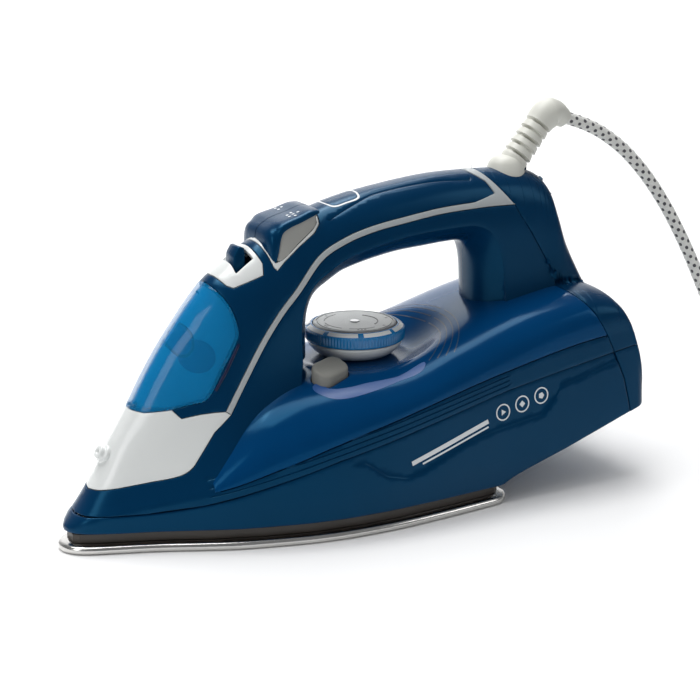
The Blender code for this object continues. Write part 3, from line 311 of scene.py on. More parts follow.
class Side:
    """The near half of the body, unrolled: p runs along it and v runs up round its section."""

    def __init__(self, section, first=NOSE_X, last=HEEL_X, count=420, rows=240):
        even = np.sin(np.linspace(-pi / 2, pi / 2, count))
        self.x = (first + last) / 2 + (last - first) / 2 * even
        sections = [section(x) for x in self.x]
        self.grid = np.array([evenly(s, rows) for s in sections])
        self.length = np.array([np.hypot(*np.diff(s, axis=0).T).sum() for s in sections])
        moves = np.hypot(*np.moveaxis(np.diff(self.grid, axis=0), 2, 0))
        stride = np.hypot(np.diff(self.x), (moves.mean(axis=1) + moves.max(axis=1)) / 2)
        self.run = np.concatenate([[0], np.cumsum(stride)])
        self.index = np.arange(count)
        self.share = np.linspace(0, 1, rows)

    def column(self, x):
        """The section at x, its length, and its place along the side."""
        at = np.interp(x, self.x, self.index)
        i = min(int(at), len(self.x) - 2)
        t = at - i
        line = self.grid[i] * (1 - t) + self.grid[i + 1] * t
        return line, self.length[i] * (1 - t) + self.length[i + 1] * t, np.interp(at, self.index, self.run)

    def place(self, x, z):
        """Where a side-view point lies on the unrolled side."""
        line, length, p = self.column(x)
        return p, np.interp(z, np.maximum.accumulate(line[:, 1]) + self.share * 1e-6, self.share) * length

    def place_plan(self, x, y):
        """Where a plan-view point lies on the upper part of the unrolled side."""
        line, length, p = self.column(x)
        return p, np.interp(-abs(y), -line[:, 0] + self.share * 1e-6, self.share) * length

    def spot(self, place):
        """The near side's point in space at one unrolled place."""
        return self.points(np.array([place]))[0]

    def points(self, places):
        """The near side's points in space at unrolled places."""
        at = np.interp(places[:, 0], self.run, self.index)
        i = np.minimum(at.astype(int), len(self.x) - 2)
        t = at - i
        length = self.length[i] * (1 - t) + self.length[i + 1] * t
        up = np.clip(places[:, 1] / length, 0, 1) * (len(self.share) - 1)
        j = np.minimum(up.astype(int), len(self.share) - 2)
        s = (up - j)[:, None]
        t = t[:, None]
        low = self.grid[i, j] * (1 - t) + self.grid[i + 1, j] * t
        high = self.grid[i, j + 1] * (1 - t) + self.grid[i + 1, j + 1] * t
        yz = low * (1 - s) + high * s
        y = np.where(yz[:, 0] < 0.03, 0, yz[:, 0])
        return np.column_stack([np.interp(at, self.index, self.x), -y, yz[:, 1]])


# ---------------------------------------------------------------- meshes


def mesh_piece(name, points, faces, paint, body="iron", sharp=40, smooth_shaded=True):
    """A piece of the iron, in place, riding on a body of the frame."""
    data = bpy.data.meshes.new(name)
    places = [tuple(float(c) * MM for c in p) for p in points]
    data.from_pydata(places, [], [tuple(map(int, f)) for f in faces])
    data.validate()
    if smooth_shaded:
        data.shade_smooth()
        data.set_sharp_from_angle(angle=radians(sharp))
    obj = bpy.data.objects.new(name, data)
    bpy.context.scene.collection.objects.link(obj)
    data.materials.append(paint)
    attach(obj, body)
    return obj


def stands_for(obj, slot, *nodes):
    """The piece replaces these nodes of the frame, which are hidden; the slot is not used."""
    if nodes:
        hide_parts(*nodes)
    return obj


def thinned(line, step, turn=0.05):
    """A closed line without the points that it doesn't need."""
    kept = [line[0]]
    for before, point, after in zip(line, line[1:], line[2:] + line[:1]):
        a, b = np.subtract(point, kept[-1]), np.subtract(after, point)
        size_a, size_b = np.linalg.norm(a), np.linalg.norm(b)
        if size_a < 0.08:
            continue
        bend = abs(a[0] * b[1] - a[1] * b[0]) / max(size_a * size_b, 1e-9)
        if size_a > step or bend > turn or np.dot(a, b) < 0:
            kept.append(point)
    return kept


def within(points, loops):
    """Which points lie inside an odd number of closed loops."""
    odd = np.zeros(len(points), bool)
    for loop in loops:
        a = np.array(loop)
        b = np.roll(a, -1, axis=0)
        for (x0, y0), (x1, y1) in zip(a, b):
            if y0 == y1:
                continue
            crosses = (y0 > points[:, 1]) != (y1 > points[:, 1])
            at = x0 + (points[:, 1] - y0) * (x1 - x0) / (y1 - y0)
            odd ^= crosses & (points[:, 0] < at)
    return odd


def lattice(loops, taken, spacing):
    """Points inside the loops, in staggered rows, that keep clear of the lines already there."""
    outer = np.array(loops[0])
    low, high = outer.min(axis=0), outer.max(axis=0)
    rows = np.arange(low[1], high[1], spacing * 0.87)
    grid = [(x + (k % 2) * spacing / 2, y) for k, y in enumerate(rows)
            for x in np.arange(low[0], high[0], spacing)]
    grid = np.array(grid).reshape(-1, 2)
    grid = grid[within(grid, loops)] if len(grid) else grid
    lines = np.array(taken)
    clear = []
    for chunk in np.array_split(grid, max(len(grid) // 500, 1)):
        if len(chunk):
            gap = np.abs(chunk[:, None, :] - lines[None, :, :]).max(axis=2).min(axis=1)
            clear.append(chunk[gap > spacing * 0.55])
    return np.vstack(clear) if clear else grid


def triangulated(loops, lines, spacing):
    """Triangles that fill the loops and have edges along the lines: (points, triangles)."""
    points, edges = [], []
    for loop in loops:
        start = len(points)
        points += [tuple(p) for p in loop]
        edges += [(start + i, start + (i + 1) % len(loop)) for i in range(len(loop))]
    for line in lines:
        start = len(points)
        points += [tuple(p) for p in line]
        edges += [(start + i, start + i + 1) for i in range(len(line) - 1)]
    inner = lattice(loops, points, spacing)
    points += [tuple(p) for p in inner]
    made = delaunay_2d_cdt([Vector(p) for p in points], edges, [], 0, 1e-4)
    flat, tris = np.array([tuple(v) for v in made[0]]), np.array(made[2])
    corners = flat[tris]
    inside = within(corners.mean(axis=1), loops)
    a, b = corners[:, 1] - corners[:, 0], corners[:, 2] - corners[:, 0]
    area = a[:, 0] * b[:, 1] - a[:, 1] * b[:, 0]
    tris[area < 0] = tris[area < 0][:, ::-1]
    return flat, tris[inside & (np.abs(area) > 1e-7)]


def vertex_normals(points, tris):
    a, b, c = (points[tris[:, k]] for k in range(3))
    across = np.cross(b - a, c - a)
    normals = np.zeros_like(points)
    for k in range(3):
        np.add.at(normals, tris[:, k], across)
    return normals / np.maximum(np.linalg.norm(normals, axis=1), 1e-12)[:, None]


def shell(points, tris, depth, edge):
    """An open sheet closed into a shell of a depth, with rounded rims."""
    normals = vertex_normals(points, tris)
    directed = set()
    for a, b, c in tris.tolist():
        directed.update(((a, b), (b, c), (c, a)))
    border = [(a, b) for a, b in directed if (b, a) not in directed]
    border.sort()
    out = np.zeros_like(points)
    for a, b in border:
        along = points[b] - points[a]
        along /= max(np.linalg.norm(along), 1e-9)
        away = np.cross(along, normals[a] + normals[b])
        out[a] += away
        out[b] += away
    out /= np.maximum(np.linalg.norm(out, axis=1), 1e-9)[:, None]
    rim = sorted({a for a, _ in border} | {b for _, b in border})
    rank = {v: i for i, v in enumerate(rim)}
    levels = (30, 60, 90) if edge else ()
    layers = [points - out * edge]
    for angle in levels:
        back = edge * (1 - sin(radians(angle)))
        down = edge * (1 - cos(radians(angle)))
        layers.append((points - out * back - normals * down)[rim])
    layers.append(points - normals * depth)
    total = len(points)
    faces = tris.tolist()
    inner = total + len(levels) * len(rim)
    for a, b in border:
        low = (a, b)
        for k in range(len(levels)):
            high = (total + k * len(rim) + rank[a], total + k * len(rim) + rank[b])
            faces.append((low[1], low[0], high[0], high[1]))
            low = high
        faces.append((low[1], low[0], inner + a, inner + b))
    faces += [(inner + c, inner + b, inner + a) for a, b, c in tris.tolist()]
    return np.vstack(layers), faces


def merged(points, tris):
    """Points that coincide made one, and the triangles that collapse dropped."""
    _, first, inverse = np.unique(np.round(points, 2), axis=0, return_index=True, return_inverse=True)
    tris = inverse.reshape(-1)[tris]
    good = (tris[:, 0] != tris[:, 1]) & (tris[:, 1] != tris[:, 2]) & (tris[:, 0] != tris[:, 2])
    return points[first], tris[good]


def skin(name, side, outline, paint, body="iron", depth=SHELL, edge=ROUND, spacing=2.2, gap=SEAM_GAP,
         grooves=(), guides=(), relief=None, lift=0.0, near_holes=(), holes=(), sides="nf", plan=False,
         step=1.6):
    """A moulded piece cut out of a side of the body along an outline, on both sides of the iron.

    Grooves are (line, width, depth), guides are lines that the mesh follows, and relief gives the
    height at points in space. Lines are side views, or plan views if plan is true."""
    placed = side.place_plan if plan else side.place
    border = thinned([placed(*p) for p in grown(dense(outline), -gap)], step)
    cuts = [thinned([placed(*p) for p in grown(dense(h), gap)], step) for h in holes]
    near_cuts = [thinned([side.place_plan(*p) for p in grown(dense(h), gap)], step) for h in near_holes]
    lines, floors = [], {}
    for line, width, low in grooves:
        for shift in (-width / 2, 0, width / 2):
            run = [placed(*p) for p in beside(dense(line, 1.2, closed=False), shift)]
            lines.append(run)
            if shift == 0:
                floors.update({(round(p, 2), round(v, 2)): low for p, v in run})
    lines += [[placed(*p) for p in dense(g, 1.2, closed=False)] for g in guides]
    all_points, all_tris, total = [], [], 0
    for which in sides:
        loops = [border] + cuts + (near_cuts if which == "n" else [])
        flat, tris = triangulated(loops, lines, spacing)
        points = side.points(flat)
        normals = vertex_normals(points, tris)
        height = np.full(len(points), lift)
        if floors:
            height -= np.array([floors.get((round(p, 2), round(v, 2)), 0) for p, v in flat.tolist()])
        if relief is not None:
            height += relief(points)
        normals[points[:, 1] == 0, 1] = 0
        points = points + normals * height[:, None]
        points[np.abs(points[:, 1]) < 0.02, 1] = 0
        if which == "f":
            points = points * (1, -1, 1)
            tris = tris[:, ::-1]
        all_points.append(points)
        all_tris.append(tris + total)
        total += len(points)
    points, tris = merged(np.vstack(all_points), np.vstack(all_tris))
    return mesh_piece(name, *shell(points, tris, depth, edge), paint, body)


def bridged(rings, closed=False, capped=True):
    """Points and faces of a solid through rings of equal counts: with end caps, or closed on itself."""
    count, total = len(rings[0]), len(rings) * len(rings[0])
    points = [p for ring in rings for p in ring]
    faces = [] if closed or not capped else [tuple(range(count))[::-1], tuple(range(total - count, total))]
    for start in range(0, total if closed else total - count, count):
        for i in range(count):
            j, after = (i + 1) % count, (start + count) % total
            faces.append((start + i, start + j, after + j, after + i))
    return points, faces


def outward(points, faces):
    """The same solid with its faces turned outwards."""
    data = bpy.data.meshes.new("turned")
    data.from_pydata([tuple(p) for p in points], [], faces)
    shape = bmesh.new()
    shape.from_mesh(data)
    bmesh.ops.recalc_face_normals(shape, faces=shape.faces)
    if shape.calc_volume(signed=True) < 0:
        bmesh.ops.reverse_faces(shape, faces=shape.faces)
    made = [tuple(v.co) for v in shape.verts], [tuple(v.index for v in f.verts) for f in shape.faces]
    shape.free()
    bpy.data.meshes.remove(data)
    return made


def ringed(name, rings, paint, body="iron", sharp=40, closed=False):
    """A piece that is one solid through rings."""
    return mesh_piece(name, *outward(*bridged(rings, closed)), paint, body, sharp)


def joined(*solids):
    """Several solids as one list of points and faces."""
    points, faces = [], []
    for more, more_faces in solids:
        faces += [tuple(i + len(points) for i in f) for f in more_faces]
        points += list(more)
    return points, faces


def turned(profile, centre, axis=(0, 0, 1), sides=64, bored=False, radius_at=None):
    """A solid turned about an axis, from (radius, height) pairs: radius_at may shape each radius."""
    centre = Vector(centre)
    turn = Vector((0, 0, 1)).rotation_difference(Vector(axis))
    rings = []
    for r, h in profile:
        ring = []
        for i in range(sides):
            a = 2 * pi * i / sides
            radius = radius_at(r, h, a) if radius_at else r
            ring.append(tuple(centre + turn @ Vector((radius * cos(a), radius * sin(a), h))))
        rings.append(ring)
    return outward(*bridged(rings, bored))


def rounded_profile(profile, radius, steps=4, closed=False):
    """A profile whose corners are rounded off."""
    line = []
    count = len(profile)
    for i, corner in enumerate(profile):
        if not closed and i in (0, count - 1):
            line.append(corner)
            continue
        a, b, c = (np.array(profile[k % count], float) for k in (i - 1, i, i + 1))
        before, after = a - b, c - b
        reach = min(radius, np.linalg.norm(before) * 0.45, np.linalg.norm(after) * 0.45)
        p = b + before / max(np.linalg.norm(before), 1e-9) * reach
        q = b + after / max(np.linalg.norm(after), 1e-9) * reach
        for k in range(steps + 1):
            t = k / steps
            line.append(tuple(p * (1 - t) ** 2 + b * 2 * t * (1 - t) + q * t * t))
    return line


def tube(path, radii, sides=16, rib=None):
    """A round bar along a path of points, with a radius at each: rib(i, angle) may change it."""
    line = [Vector(p) for p in path]
    ways = [(b - a).normalized() for a, b in zip(line, line[1:])]
    tangents = [ways[0]] + [(a + b).normalized() for a, b in zip(ways, ways[1:])] + [ways[-1]]
    side = tangents[0].orthogonal().normalized()
    if abs(tangents[0].y) < 0.9:
        side = Vector((0, -1, 0))
    rings = []
    for i, (point, along) in enumerate(zip(line, tangents)):
        side = (side - along * side.dot(along)).normalized()
        other = along.cross(side)
        ring = []
        for k in range(sides):
            a = 2 * pi * k / sides
            r = radii[i] if rib is None else rib(i, a, radii[i])
            ring.append(tuple(point + (side * cos(a) + other * sin(a)) * r))
        rings.append(ring)
    return rings


# ---------------------------------------------------------------- materials


class Finish:
    """A procedural material: a Principled shader fed by noise in the object's own space."""

    def __init__(self, name):
        self.made = bpy.data.materials.new(name)
        self.made.use_nodes = True
        self.nodes, self.links = self.made.node_tree.nodes, self.made.node_tree.links
        self.shader = self.nodes["Principled BSDF"]
        self.place = self.nodes.new("ShaderNodeTexCoord").outputs["Object"]

    def node(self, kind, inputs=(), **settings):
        made = self.nodes.new(kind)
        for key, value in settings.items():
            setattr(made, key, value)
        for key, value in dict(inputs).items():
            if isinstance(value, bpy.types.NodeSocket):
                self.links.new(value, made.inputs[key])
            else:
                made.inputs[key].default_value = value
        return made

    def noise(self, scale, detail=3.0, stretch=(1, 1, 1), rough=0.55):
        spread = self.node("ShaderNodeMapping", {"Vector": self.place, "Scale": stretch})
        return self.node("ShaderNodeTexNoise", {"Vector": spread.outputs[0], "Scale": scale,
                                                "Detail": detail, "Roughness": rough}).outputs[0]

    def ranged(self, value, low, high, start=0.3, end=0.7):
        return self.node("ShaderNodeMapRange", {0: value, 1: start, 2: end, 3: low, 4: high}).outputs[0]

    def mixed(self, share, first, second):
        made = self.node("ShaderNodeMix", data_type="RGBA")
        for socket, value in ((0, share), (6, first), (7, second)):
            if isinstance(value, bpy.types.NodeSocket):
                self.links.new(value, made.inputs[socket])
            else:
                made.inputs[socket].default_value = value
        return made.outputs[2]

    def feed(self, **inputs):
        for key, value in inputs.items():
            key = key.replace("_", " ")
            if isinstance(value, bpy.types.NodeSocket):
                self.links.new(value, self.shader.inputs[key])
            else:
                self.shader.inputs[key].default_value = value

    def bump(self, height, strength, distance=0.0001):
        made = self.node("ShaderNodeBump", {"Height": height, "Strength": strength, "Distance": distance})
        self.feed(Normal=made.outputs[0])


def tinted(colour, share):
    return (*(min(c * share, 1) for c in colour), 1)


def moulded(name, colour, rough, vary=0.1, patch=22, grain=1500, bump=0.1, metallic=0.0, coat=0.0,
            clear=0.0, alpha=1.0, ior=1.5, stretch=(1, 1, 1), edge_wear_and_highlight=0.2, glint=(1, 1, 1)):
    """Moulded plastic or metal: a slow drift of colour, handled patches, fine grain, and edges lightened
    partly as worn plastic and partly as a painted highlight.
    """
    paint = Finish(name)
    drift = paint.noise(patch, 2.0)
    base = paint.mixed(drift, tinted(colour, 1 - vary), tinted(colour, 1 + vary))
    pointed = paint.node("ShaderNodeNewGeometry").outputs["Pointiness"]
    # Pointiness lightens the rims: partly worn plastic, partly a painted highlight along every edge.
    worn_and_lit_edges = paint.ranged(pointed, 0.0, edge_wear_and_highlight, 0.6, 0.8)
    pale = tuple(c * 0.6 + 0.25 for c in colour)
    paint.feed(Base_Color=paint.mixed(worn_and_lit_edges, base, tinted(pale, 1)))
    handled = paint.noise(70, 4.0, stretch)
    paint.feed(Roughness=paint.ranged(handled, rough * 0.88, rough * 1.15, 0.2, 0.8), Metallic=metallic,
               IOR=ior, Specular_Tint=(*glint, 1))
    if coat:
        paint.feed(Coat_Weight=coat, Coat_Roughness=0.06)
    if clear:
        paint.feed(Transmission_Weight=clear)
    if alpha < 1:
        paint.feed(Alpha=alpha)
        paint.made.surface_render_method = "BLENDED"
    paint.bump(paint.noise(grain, 2.0, stretch), bump)
    return paint.made


def brushed(name, colour, rough, stretch=(1, 30, 30)):
    """Metal with fine lines along one way."""
    paint = Finish(name)
    lines = paint.noise(160, 5.0, stretch)
    smears = paint.noise(28, 3.0)
    paint.feed(Base_Color=paint.mixed(smears, tinted(colour, 0.88), tinted(colour, 1.08)), Metallic=1.0,
               Roughness=paint.ranged(lines, rough * 0.7, rough * 1.5))
    paint.bump(lines, 0.12)
    return paint.made


def braided(name):
    """White braid with dark flecks in rows along it, read from the lead's own length and girth."""
    paint = Finish(name)
    along = paint.node("ShaderNodeSeparateXYZ", {0: paint.node("ShaderNodeUVMap").outputs[0]}).outputs
    around, length = along[1], along[0]
    weave = []
    for lean in (1, -1):
        turn = paint.node("ShaderNodeMath", {0: around, 1: 12.0 * lean}, operation="MULTIPLY").outputs[0]
        phase = paint.node("ShaderNodeMath", {0: length, 1: 0.42, 2: turn},
                           operation="MULTIPLY_ADD").outputs[0]
        cycle = paint.node("ShaderNodeMath", {0: phase, 1: 2 * pi}, operation="MULTIPLY").outputs[0]
        weave.append(paint.node("ShaderNodeMath", {0: cycle}, operation="SINE").outputs[0])
    high = paint.node("ShaderNodeMath", {0: weave[0], 1: weave[1]}, operation="MAXIMUM").outputs[0]
    fleck_turn = paint.node("ShaderNodeMath", {0: around, 1: 2 * pi * 4}, operation="MULTIPLY").outputs[0]
    fleck_run = paint.node("ShaderNodeMath", {0: length, 1: 2 * pi / 5.5}, operation="MULTIPLY").outputs[0]
    rows = paint.node("ShaderNodeMath", {0: fleck_turn}, operation="SINE").outputs[0]
    bars = paint.node("ShaderNodeMath", {0: fleck_run}, operation="SINE").outputs[0]
    both = paint.node("ShaderNodeMath", {0: rows, 1: bars}, operation="MULTIPLY").outputs[0]
    torn = paint.node("ShaderNodeMath", {0: paint.noise(500, 3.0), 1: 0.35, 2: both},
                      operation="MULTIPLY_ADD").outputs[0]
    flecks = paint.ranged(torn, 0.0, 1.0, 0.55, 0.72)
    paint.feed(Base_Color=paint.mixed(flecks, (0.78, 0.78, 0.75, 1), (0.07, 0.07, 0.08, 1)), Roughness=0.8,
               Sheen_Weight=0.3)
    paint.bump(high, 0.5, 0.0003)
    return paint.made


BLUE_GLINT = (0.12, 0.6, 1.0)
NAVY = moulded("navy_gloss", (0.0006, 0.025, 0.074), 0.24, bump=0.05, ior=1.4, glint=BLUE_GLINT, edge_wear_and_highlight=0.1)
DEEP_NAVY = moulded("navy_satin", (0.002, 0.018, 0.055), 0.3, bump=0.12, grain=1100)
SOFT_NAVY = moulded("navy_soft", (0.006, 0.028, 0.07), 0.5, bump=0.5, grain=2200)
TANK_BLUE = moulded("tank_clear", (0.0006, 0.045, 0.15), 0.15, clear=0.1, bump=0.02, edge_wear_and_highlight=0.05, ior=1.34,
                    glint=BLUE_GLINT)
CYAN = moulded("lid_clear", (0.0, 0.22, 0.5), 0.05, alpha=0.42, ior=1.45, bump=0.01, vary=0.05, edge_wear_and_highlight=0.1)
WHITE = moulded("white_gloss", (0.72, 0.74, 0.73), 0.22, coat=0.2, vary=0.02, bump=0.05, edge_wear_and_highlight=0.1)
TRIM = moulded("trim_silver", (0.42, 0.45, 0.46), 0.3, vary=0.04, bump=0.15, grain=2500, edge_wear_and_highlight=0.1)
PALE_GREY = moulded("panel_grey", (0.36, 0.36, 0.34), 0.38, vary=0.04, bump=0.2, edge_wear_and_highlight=0.1)
BUTTON_GREY = moulded("button_grey", (0.22, 0.22, 0.2), 0.55, vary=0.07, bump=0.6, grain=1300, edge_wear_and_highlight=0.5)
DIAL_BLUE = moulded("dial_blue", (0.005, 0.17, 0.42), 0.25, coat=0.2, edge_wear_and_highlight=0.4)
DIAL_SILVER = brushed("dial_silver", (0.34, 0.35, 0.35), 0.5, (30, 30, 1))
STAINLESS = brushed("stainless", (0.66, 0.65, 0.63), 0.16)
STEEL = brushed("steel", (0.55, 0.55, 0.56), 0.3)
NICKEL = brushed("nickel", (0.66, 0.64, 0.58), 0.2)
ALUMINIUM = moulded("aluminium_cast", (0.5, 0.51, 0.52), 0.5, metallic=1.0, bump=0.6, grain=900)
BRASS = moulded("valve_brass", (0.62, 0.42, 0.14), 0.35, metallic=1.0, bump=0.2)
BAKELITE = moulded("bakelite", (0.035, 0.028, 0.022), 0.34, bump=0.4, grain=900, edge_wear_and_highlight=0.3)
RUBBER = moulded("hose_rubber", (0.5, 0.5, 0.46), 0.5, bump=0.3, clear=0.2)
CERAMIC = moulded("ceramic_block", (0.7, 0.69, 0.64), 0.6, bump=0.5, grain=800)
INNER_WHITE = moulded("inner_white", (0.6, 0.6, 0.57), 0.5, bump=0.3)
LEAD_BLACK = moulded("lead_black", (0.02, 0.02, 0.02), 0.55, bump=0.3)
CORD_WHITE = moulded("cord_white", (0.66, 0.66, 0.6), 0.42, vary=0.04, bump=0.25, edge_wear_and_highlight=0.1)
BRAID = braided("cord_braid")
PRINT_WHITE = moulded("print_white", (0.72, 0.74, 0.76), 0.35, vary=0.03, bump=0.1)
PRINT_DARK = moulded("print_dark", (0.02, 0.02, 0.025), 0.4, vary=0.03, bump=0.1)
# A lighter blue, used for a painted highlight on the tank.
TANK_HIGHLIGHT = moulded("tank_highlight_paint", (0.02, 0.1, 0.34), 0.3, vary=0.05, bump=0.05, clear=0.2)

FUNNEL = moulded("funnel_blue", (0.0, 0.34, 0.68), 0.4, bump=0.05)
FUNNEL_MID = moulded("funnel_mid", (0.0, 0.05, 0.25), 0.3, bump=0.05)
FUNNEL_DARK = moulded("funnel_dark", (0.0, 0.004, 0.04), 0.25, bump=0.05)

SLOT_PAINTS = {"navy_gloss": NAVY, "navy_soft": SOFT_NAVY, "tank_clear": TANK_BLUE, "lid_clear": CYAN,
               "white_gloss": WHITE, "trim_silver": TRIM, "button_grey": BUTTON_GREY,
               "dial_blue": DIAL_BLUE, "dial_silver": DIAL_SILVER, "stainless": STAINLESS,
               "steel": STEEL, "aluminium_cast": ALUMINIUM, "bakelite": BAKELITE,
               "valve_brass": BRASS, "hose_rubber": RUBBER, "ceramic_block": CERAMIC,
               "inner_white": INNER_WHITE, "lead_black": LEAD_BLACK, "cord_braid": BRAID,
               "cord_white": CORD_WHITE, "nickel": NICKEL}


def paint_frame():
    """Every node of the frame gets the finish of its slot."""
    for row in frame["record"]["subparts"]:
        node = frame["nodes"][row["node"]]
        node.data.materials.clear()
        node.data.materials.append(SLOT_PAINTS[row["material_slot"]])
    frame["nodes"]["filler_funnel"].data.materials[0] = FUNNEL


# ---------------------------------------------------------------- the body

RIDGE_SIDE = Side(ridge_section)
TANK_SIDE = Side(tank_section)
REAR_SIDE = Side(rear_section, first=66, count=640)
FOOT_STRIP = beside(STRIP, -STRIP_HALF)
TOP_STRIP = beside(STRIP, STRIP_HALF)
STRIP_START = 2  # the point of the strip at the foot of the trim


def wall_top_line(first, last, rise):
    return [(float(x), float(WALL_HEIGHT(x)) + rise) for x in np.arange(first, last, 2.0)]


def meeting_height(x):
    """Where the column or the handle's leg comes out of the tank."""
    z = np.linspace(WALL_HEIGHT(x) + 1, TANK_HEIGHT(x), 400)
    over = ridge_half_width(x, z) > tank_half_width(x, z)
    return float(z[np.argmax(over)]) if over.any() else float(z[-1])


def crease():
    """Where the finger hole opens in the sides, and the way out of the hole there: [(x, z, y, nx, nz)]."""
    line = curved(ARCH, 1.0)
    shifted = beside(line, 1.0)
    found = []
    for (x, z), (x1, z1) in zip(line, shifted):
        out, y = (x1 - x, z1 - z), 17.0
        for _ in range(40):
            flare = FLARE * (min(y, FLARE_LIMIT) / FLARE_AT) ** FLARE_POWER
            y = 0.5 * y + 0.5 * float(ridge_half_width(x + out[0] * flare, z + out[1] * flare))
        found.append((x, z, y, *out))
    return found


def flare_of(y):
    return FLARE * (np.minimum(np.abs(y), FLARE_LIMIT) / FLARE_AT) ** FLARE_POWER


def make_body():
    """The navy column, the band round the tank, and the underside and rear leg of the handle."""
    hole = crease()
    edge = [(x + nx * flare_of(y) - nx * SEAM_GAP, z + nz * flare_of(y) - nz * SEAM_GAP)
            for x, z, y, nx, nz in hole]
    column_foot = [(float(x), meeting_height(x) - 2) for x in np.arange(-86, edge[0][0] - 1, 2.0)]
    leg_foot = [(float(x), meeting_height(x) - 2) for x in np.arange(edge[-1][0] + 1, 111, 2.0)]
    outline = SEAM + [UPPER_HEEL_SEAM[1]] + wall_top_line(-84, 124, 0)[::-1] + column_foot
    outline += [p for p in edge if p[1] > column_foot[-1][1]][:-1]
    outline += leg_foot + UPPER_HEEL_SEAM[3:] + curved(FOOT_STRIP[STRIP_START:], 1.0)[::-1]
    outline += curved(COVER_EDGE, 1.0)[::-1]
    top_line = [(-89, 33), (-30, 46), (65, 64)]
    engraved = []
    for share in (0.34, 0.67, 1.0):
        xs = np.linspace(-88, 65, 60)
        z = [smooth(SEAM, x) * (1 - share) + smooth(top_line, x) * share for x in xs]
        engraved.append((list(zip(map(float, xs), map(float, z))), 0.7, 0.35))
    body = skin("body_shell", RIDGE_SIDE, outline, NAVY, grooves=engraved)
    stands_for(body, "navy_gloss", "upper_housing", "handle_body")
    rows = 31
    points, faces = [], []
    for x, z, y, nx, nz in hole:
        for across in np.linspace(-y - 0.05, y + 0.05, rows):
            points.append((x + nx * flare_of(across), across, z + nz * flare_of(across)))
    for i in range(len(hole) - 1):
        for k in range(rows - 1):
            a = i * rows + k
            faces += [(a, a + 1, a + rows + 1), (a, a + rows + 1, a + rows)]
    tris = np.array(faces)
    inside = shell(np.array(points), tris, 1.5, 0)
    lining = mesh_piece("hole_lining", *inside, NAVY)


def panel_line(x):
    """The lower border of the sunk panel on the skirt."""
    border = [(-40, 34.5), (-17, 34.5), (-6, 26.5), (5, 23.5), (14, 25), (42, 35), (56, 37.5),
              (86, 41), (93, 48), (97, 53.5), (106, 55.5), (131, 61)]
    return np.interp(x, *zip(*border))


def make_skirt():
    def relief(points):
        x, z = points[:, 0], points[:, 2]
        share = np.clip((z - panel_line(x)) / 1.2, 0, 1) * np.clip((x + 26) / 9, 0, 1)
        return -0.6 * share

    ends = np.linspace(-26, 130, 90)
    guides = [[(float(x), float(panel_line(x)) + rise) for x in ends] for rise in (0, 0.6, 1.2)]
    skirt = skin("skirt_shell", RIDGE_SIDE, curved(SEAM, 2) + HEEL_SEAM[1:] + [(141, -5), (-160, -5)], NAVY,
                 relief=relief, guides=guides, edge=0.8)
    stands_for(skirt, "navy_gloss", "lower_skirt")
    rings = []
    for x in np.linspace(62, HEEL_X - 1.2, 30):
        w, z = float(SKIRT_WIDTH(x)) - 1.6, float(FLOOR(x))
        rings.append([(x, -w, z + 0.3), (x, w, z + 0.3), (x, w, z + 2.4), (x, -w, z + 2.4)])
    ringed("skirt_floor", rings, NAVY)


def make_tank():
    """The clear tank, with fine dark arcs round the dial that stand for its engraved lines, their darkness
    painted shade, and a pocket for the descaling button.
    """
    outline = wall_top_line(TANK_ENDS[0] + 1, 125.5, 0.1) + UPPER_HEEL_SEAM[1:4] + [(110, 130), (-86, 130)]
    pocket = grown(rounded_outline(CALC_AT, *CALC_PLAN, 5, CALC_TURN), 0.35)
    tank = skin("tank_shell", TANK_SIDE, outline, TANK_BLUE, near_holes=[pocket], spacing=1.8)
    stands_for(tank, "tank_clear", "water_tank")
    # The arcs are dark strips laid on the tank: their darkness is painted shade for the engraved grooves.
    for i, radius in enumerate((42, 45, 48, 51)):
        arc = [(DIAL_X + radius * cos(radians(a)), radius * sin(radians(a)))
               for a in range(-62 + 4 * i, 63, 4)]
        ring = arc + [(DIAL_X + (radius - 0.5) * cos(radians(a)), (radius - 0.5) * sin(radians(a)))
                      for a in range(62, -63 + 4 * i, -4)]
        near = [(x, y) for x, y in ring if y <= 0]
        skin(f"tank_arc_shade_{i}", TANK_SIDE, near, DEEP_NAVY, depth=0.3, edge=0, gap=0, lift=0.06,
                     plan=True, spacing=3)


def front_at(z):
    """Where the ridge's front reaches a height."""
    xs = np.linspace(NOSE_X, -60, 900)
    return float(xs[np.argmax(RIDGE_HEIGHT(xs) > z)])


def make_nose():
    ends = [beside(STRIP, side * STRIP_HALF)[STRIP_START] for side in (-1, 1)]
    start, foot = front_at(27), front_at(LID_FOOT[-1][1])
    outline = [p for p in curved(COVER_EDGE, 1.0) if p[0] > start] + ends + FRAME_EDGE[::-1] + LID_FOOT[:-1]
    outline += [(foot, LID_FOOT[-1][1]), (foot, 70), (start, 60), (start, 27)]
    stands_for(skin("nose_shell", RIDGE_SIDE, outline, WHITE), "white_gloss", "nose_cover")
    nozzle = [(0, -2), (4.6, -2), (4.6, 0.4), (3.3, 1), (3.1, 3), (1.4, 3.2), (0.8, 2.2), (0, 2)]
    nozzle = rounded_profile(nozzle, 0.7)
    stands_for(mesh_piece("nozzle_tip", *turned(nozzle, (-127, 0, 43.6), (-0.87, 0, 0.5), 32), WHITE),
               "white_gloss", "spray_nozzle")


def make_trim():
    lower = curved(FOOT_STRIP[STRIP_START:], 1.0)
    upper = curved(TOP_STRIP[STRIP_START:-1], 1.0)
    outline = lower + TRIM_REAR + GRIP_REAR + upper[::-1]
    stands_for(skin("trim_strip", RIDGE_SIDE, outline, TRIM, lift=0.15), "trim_silver", "side_trim")


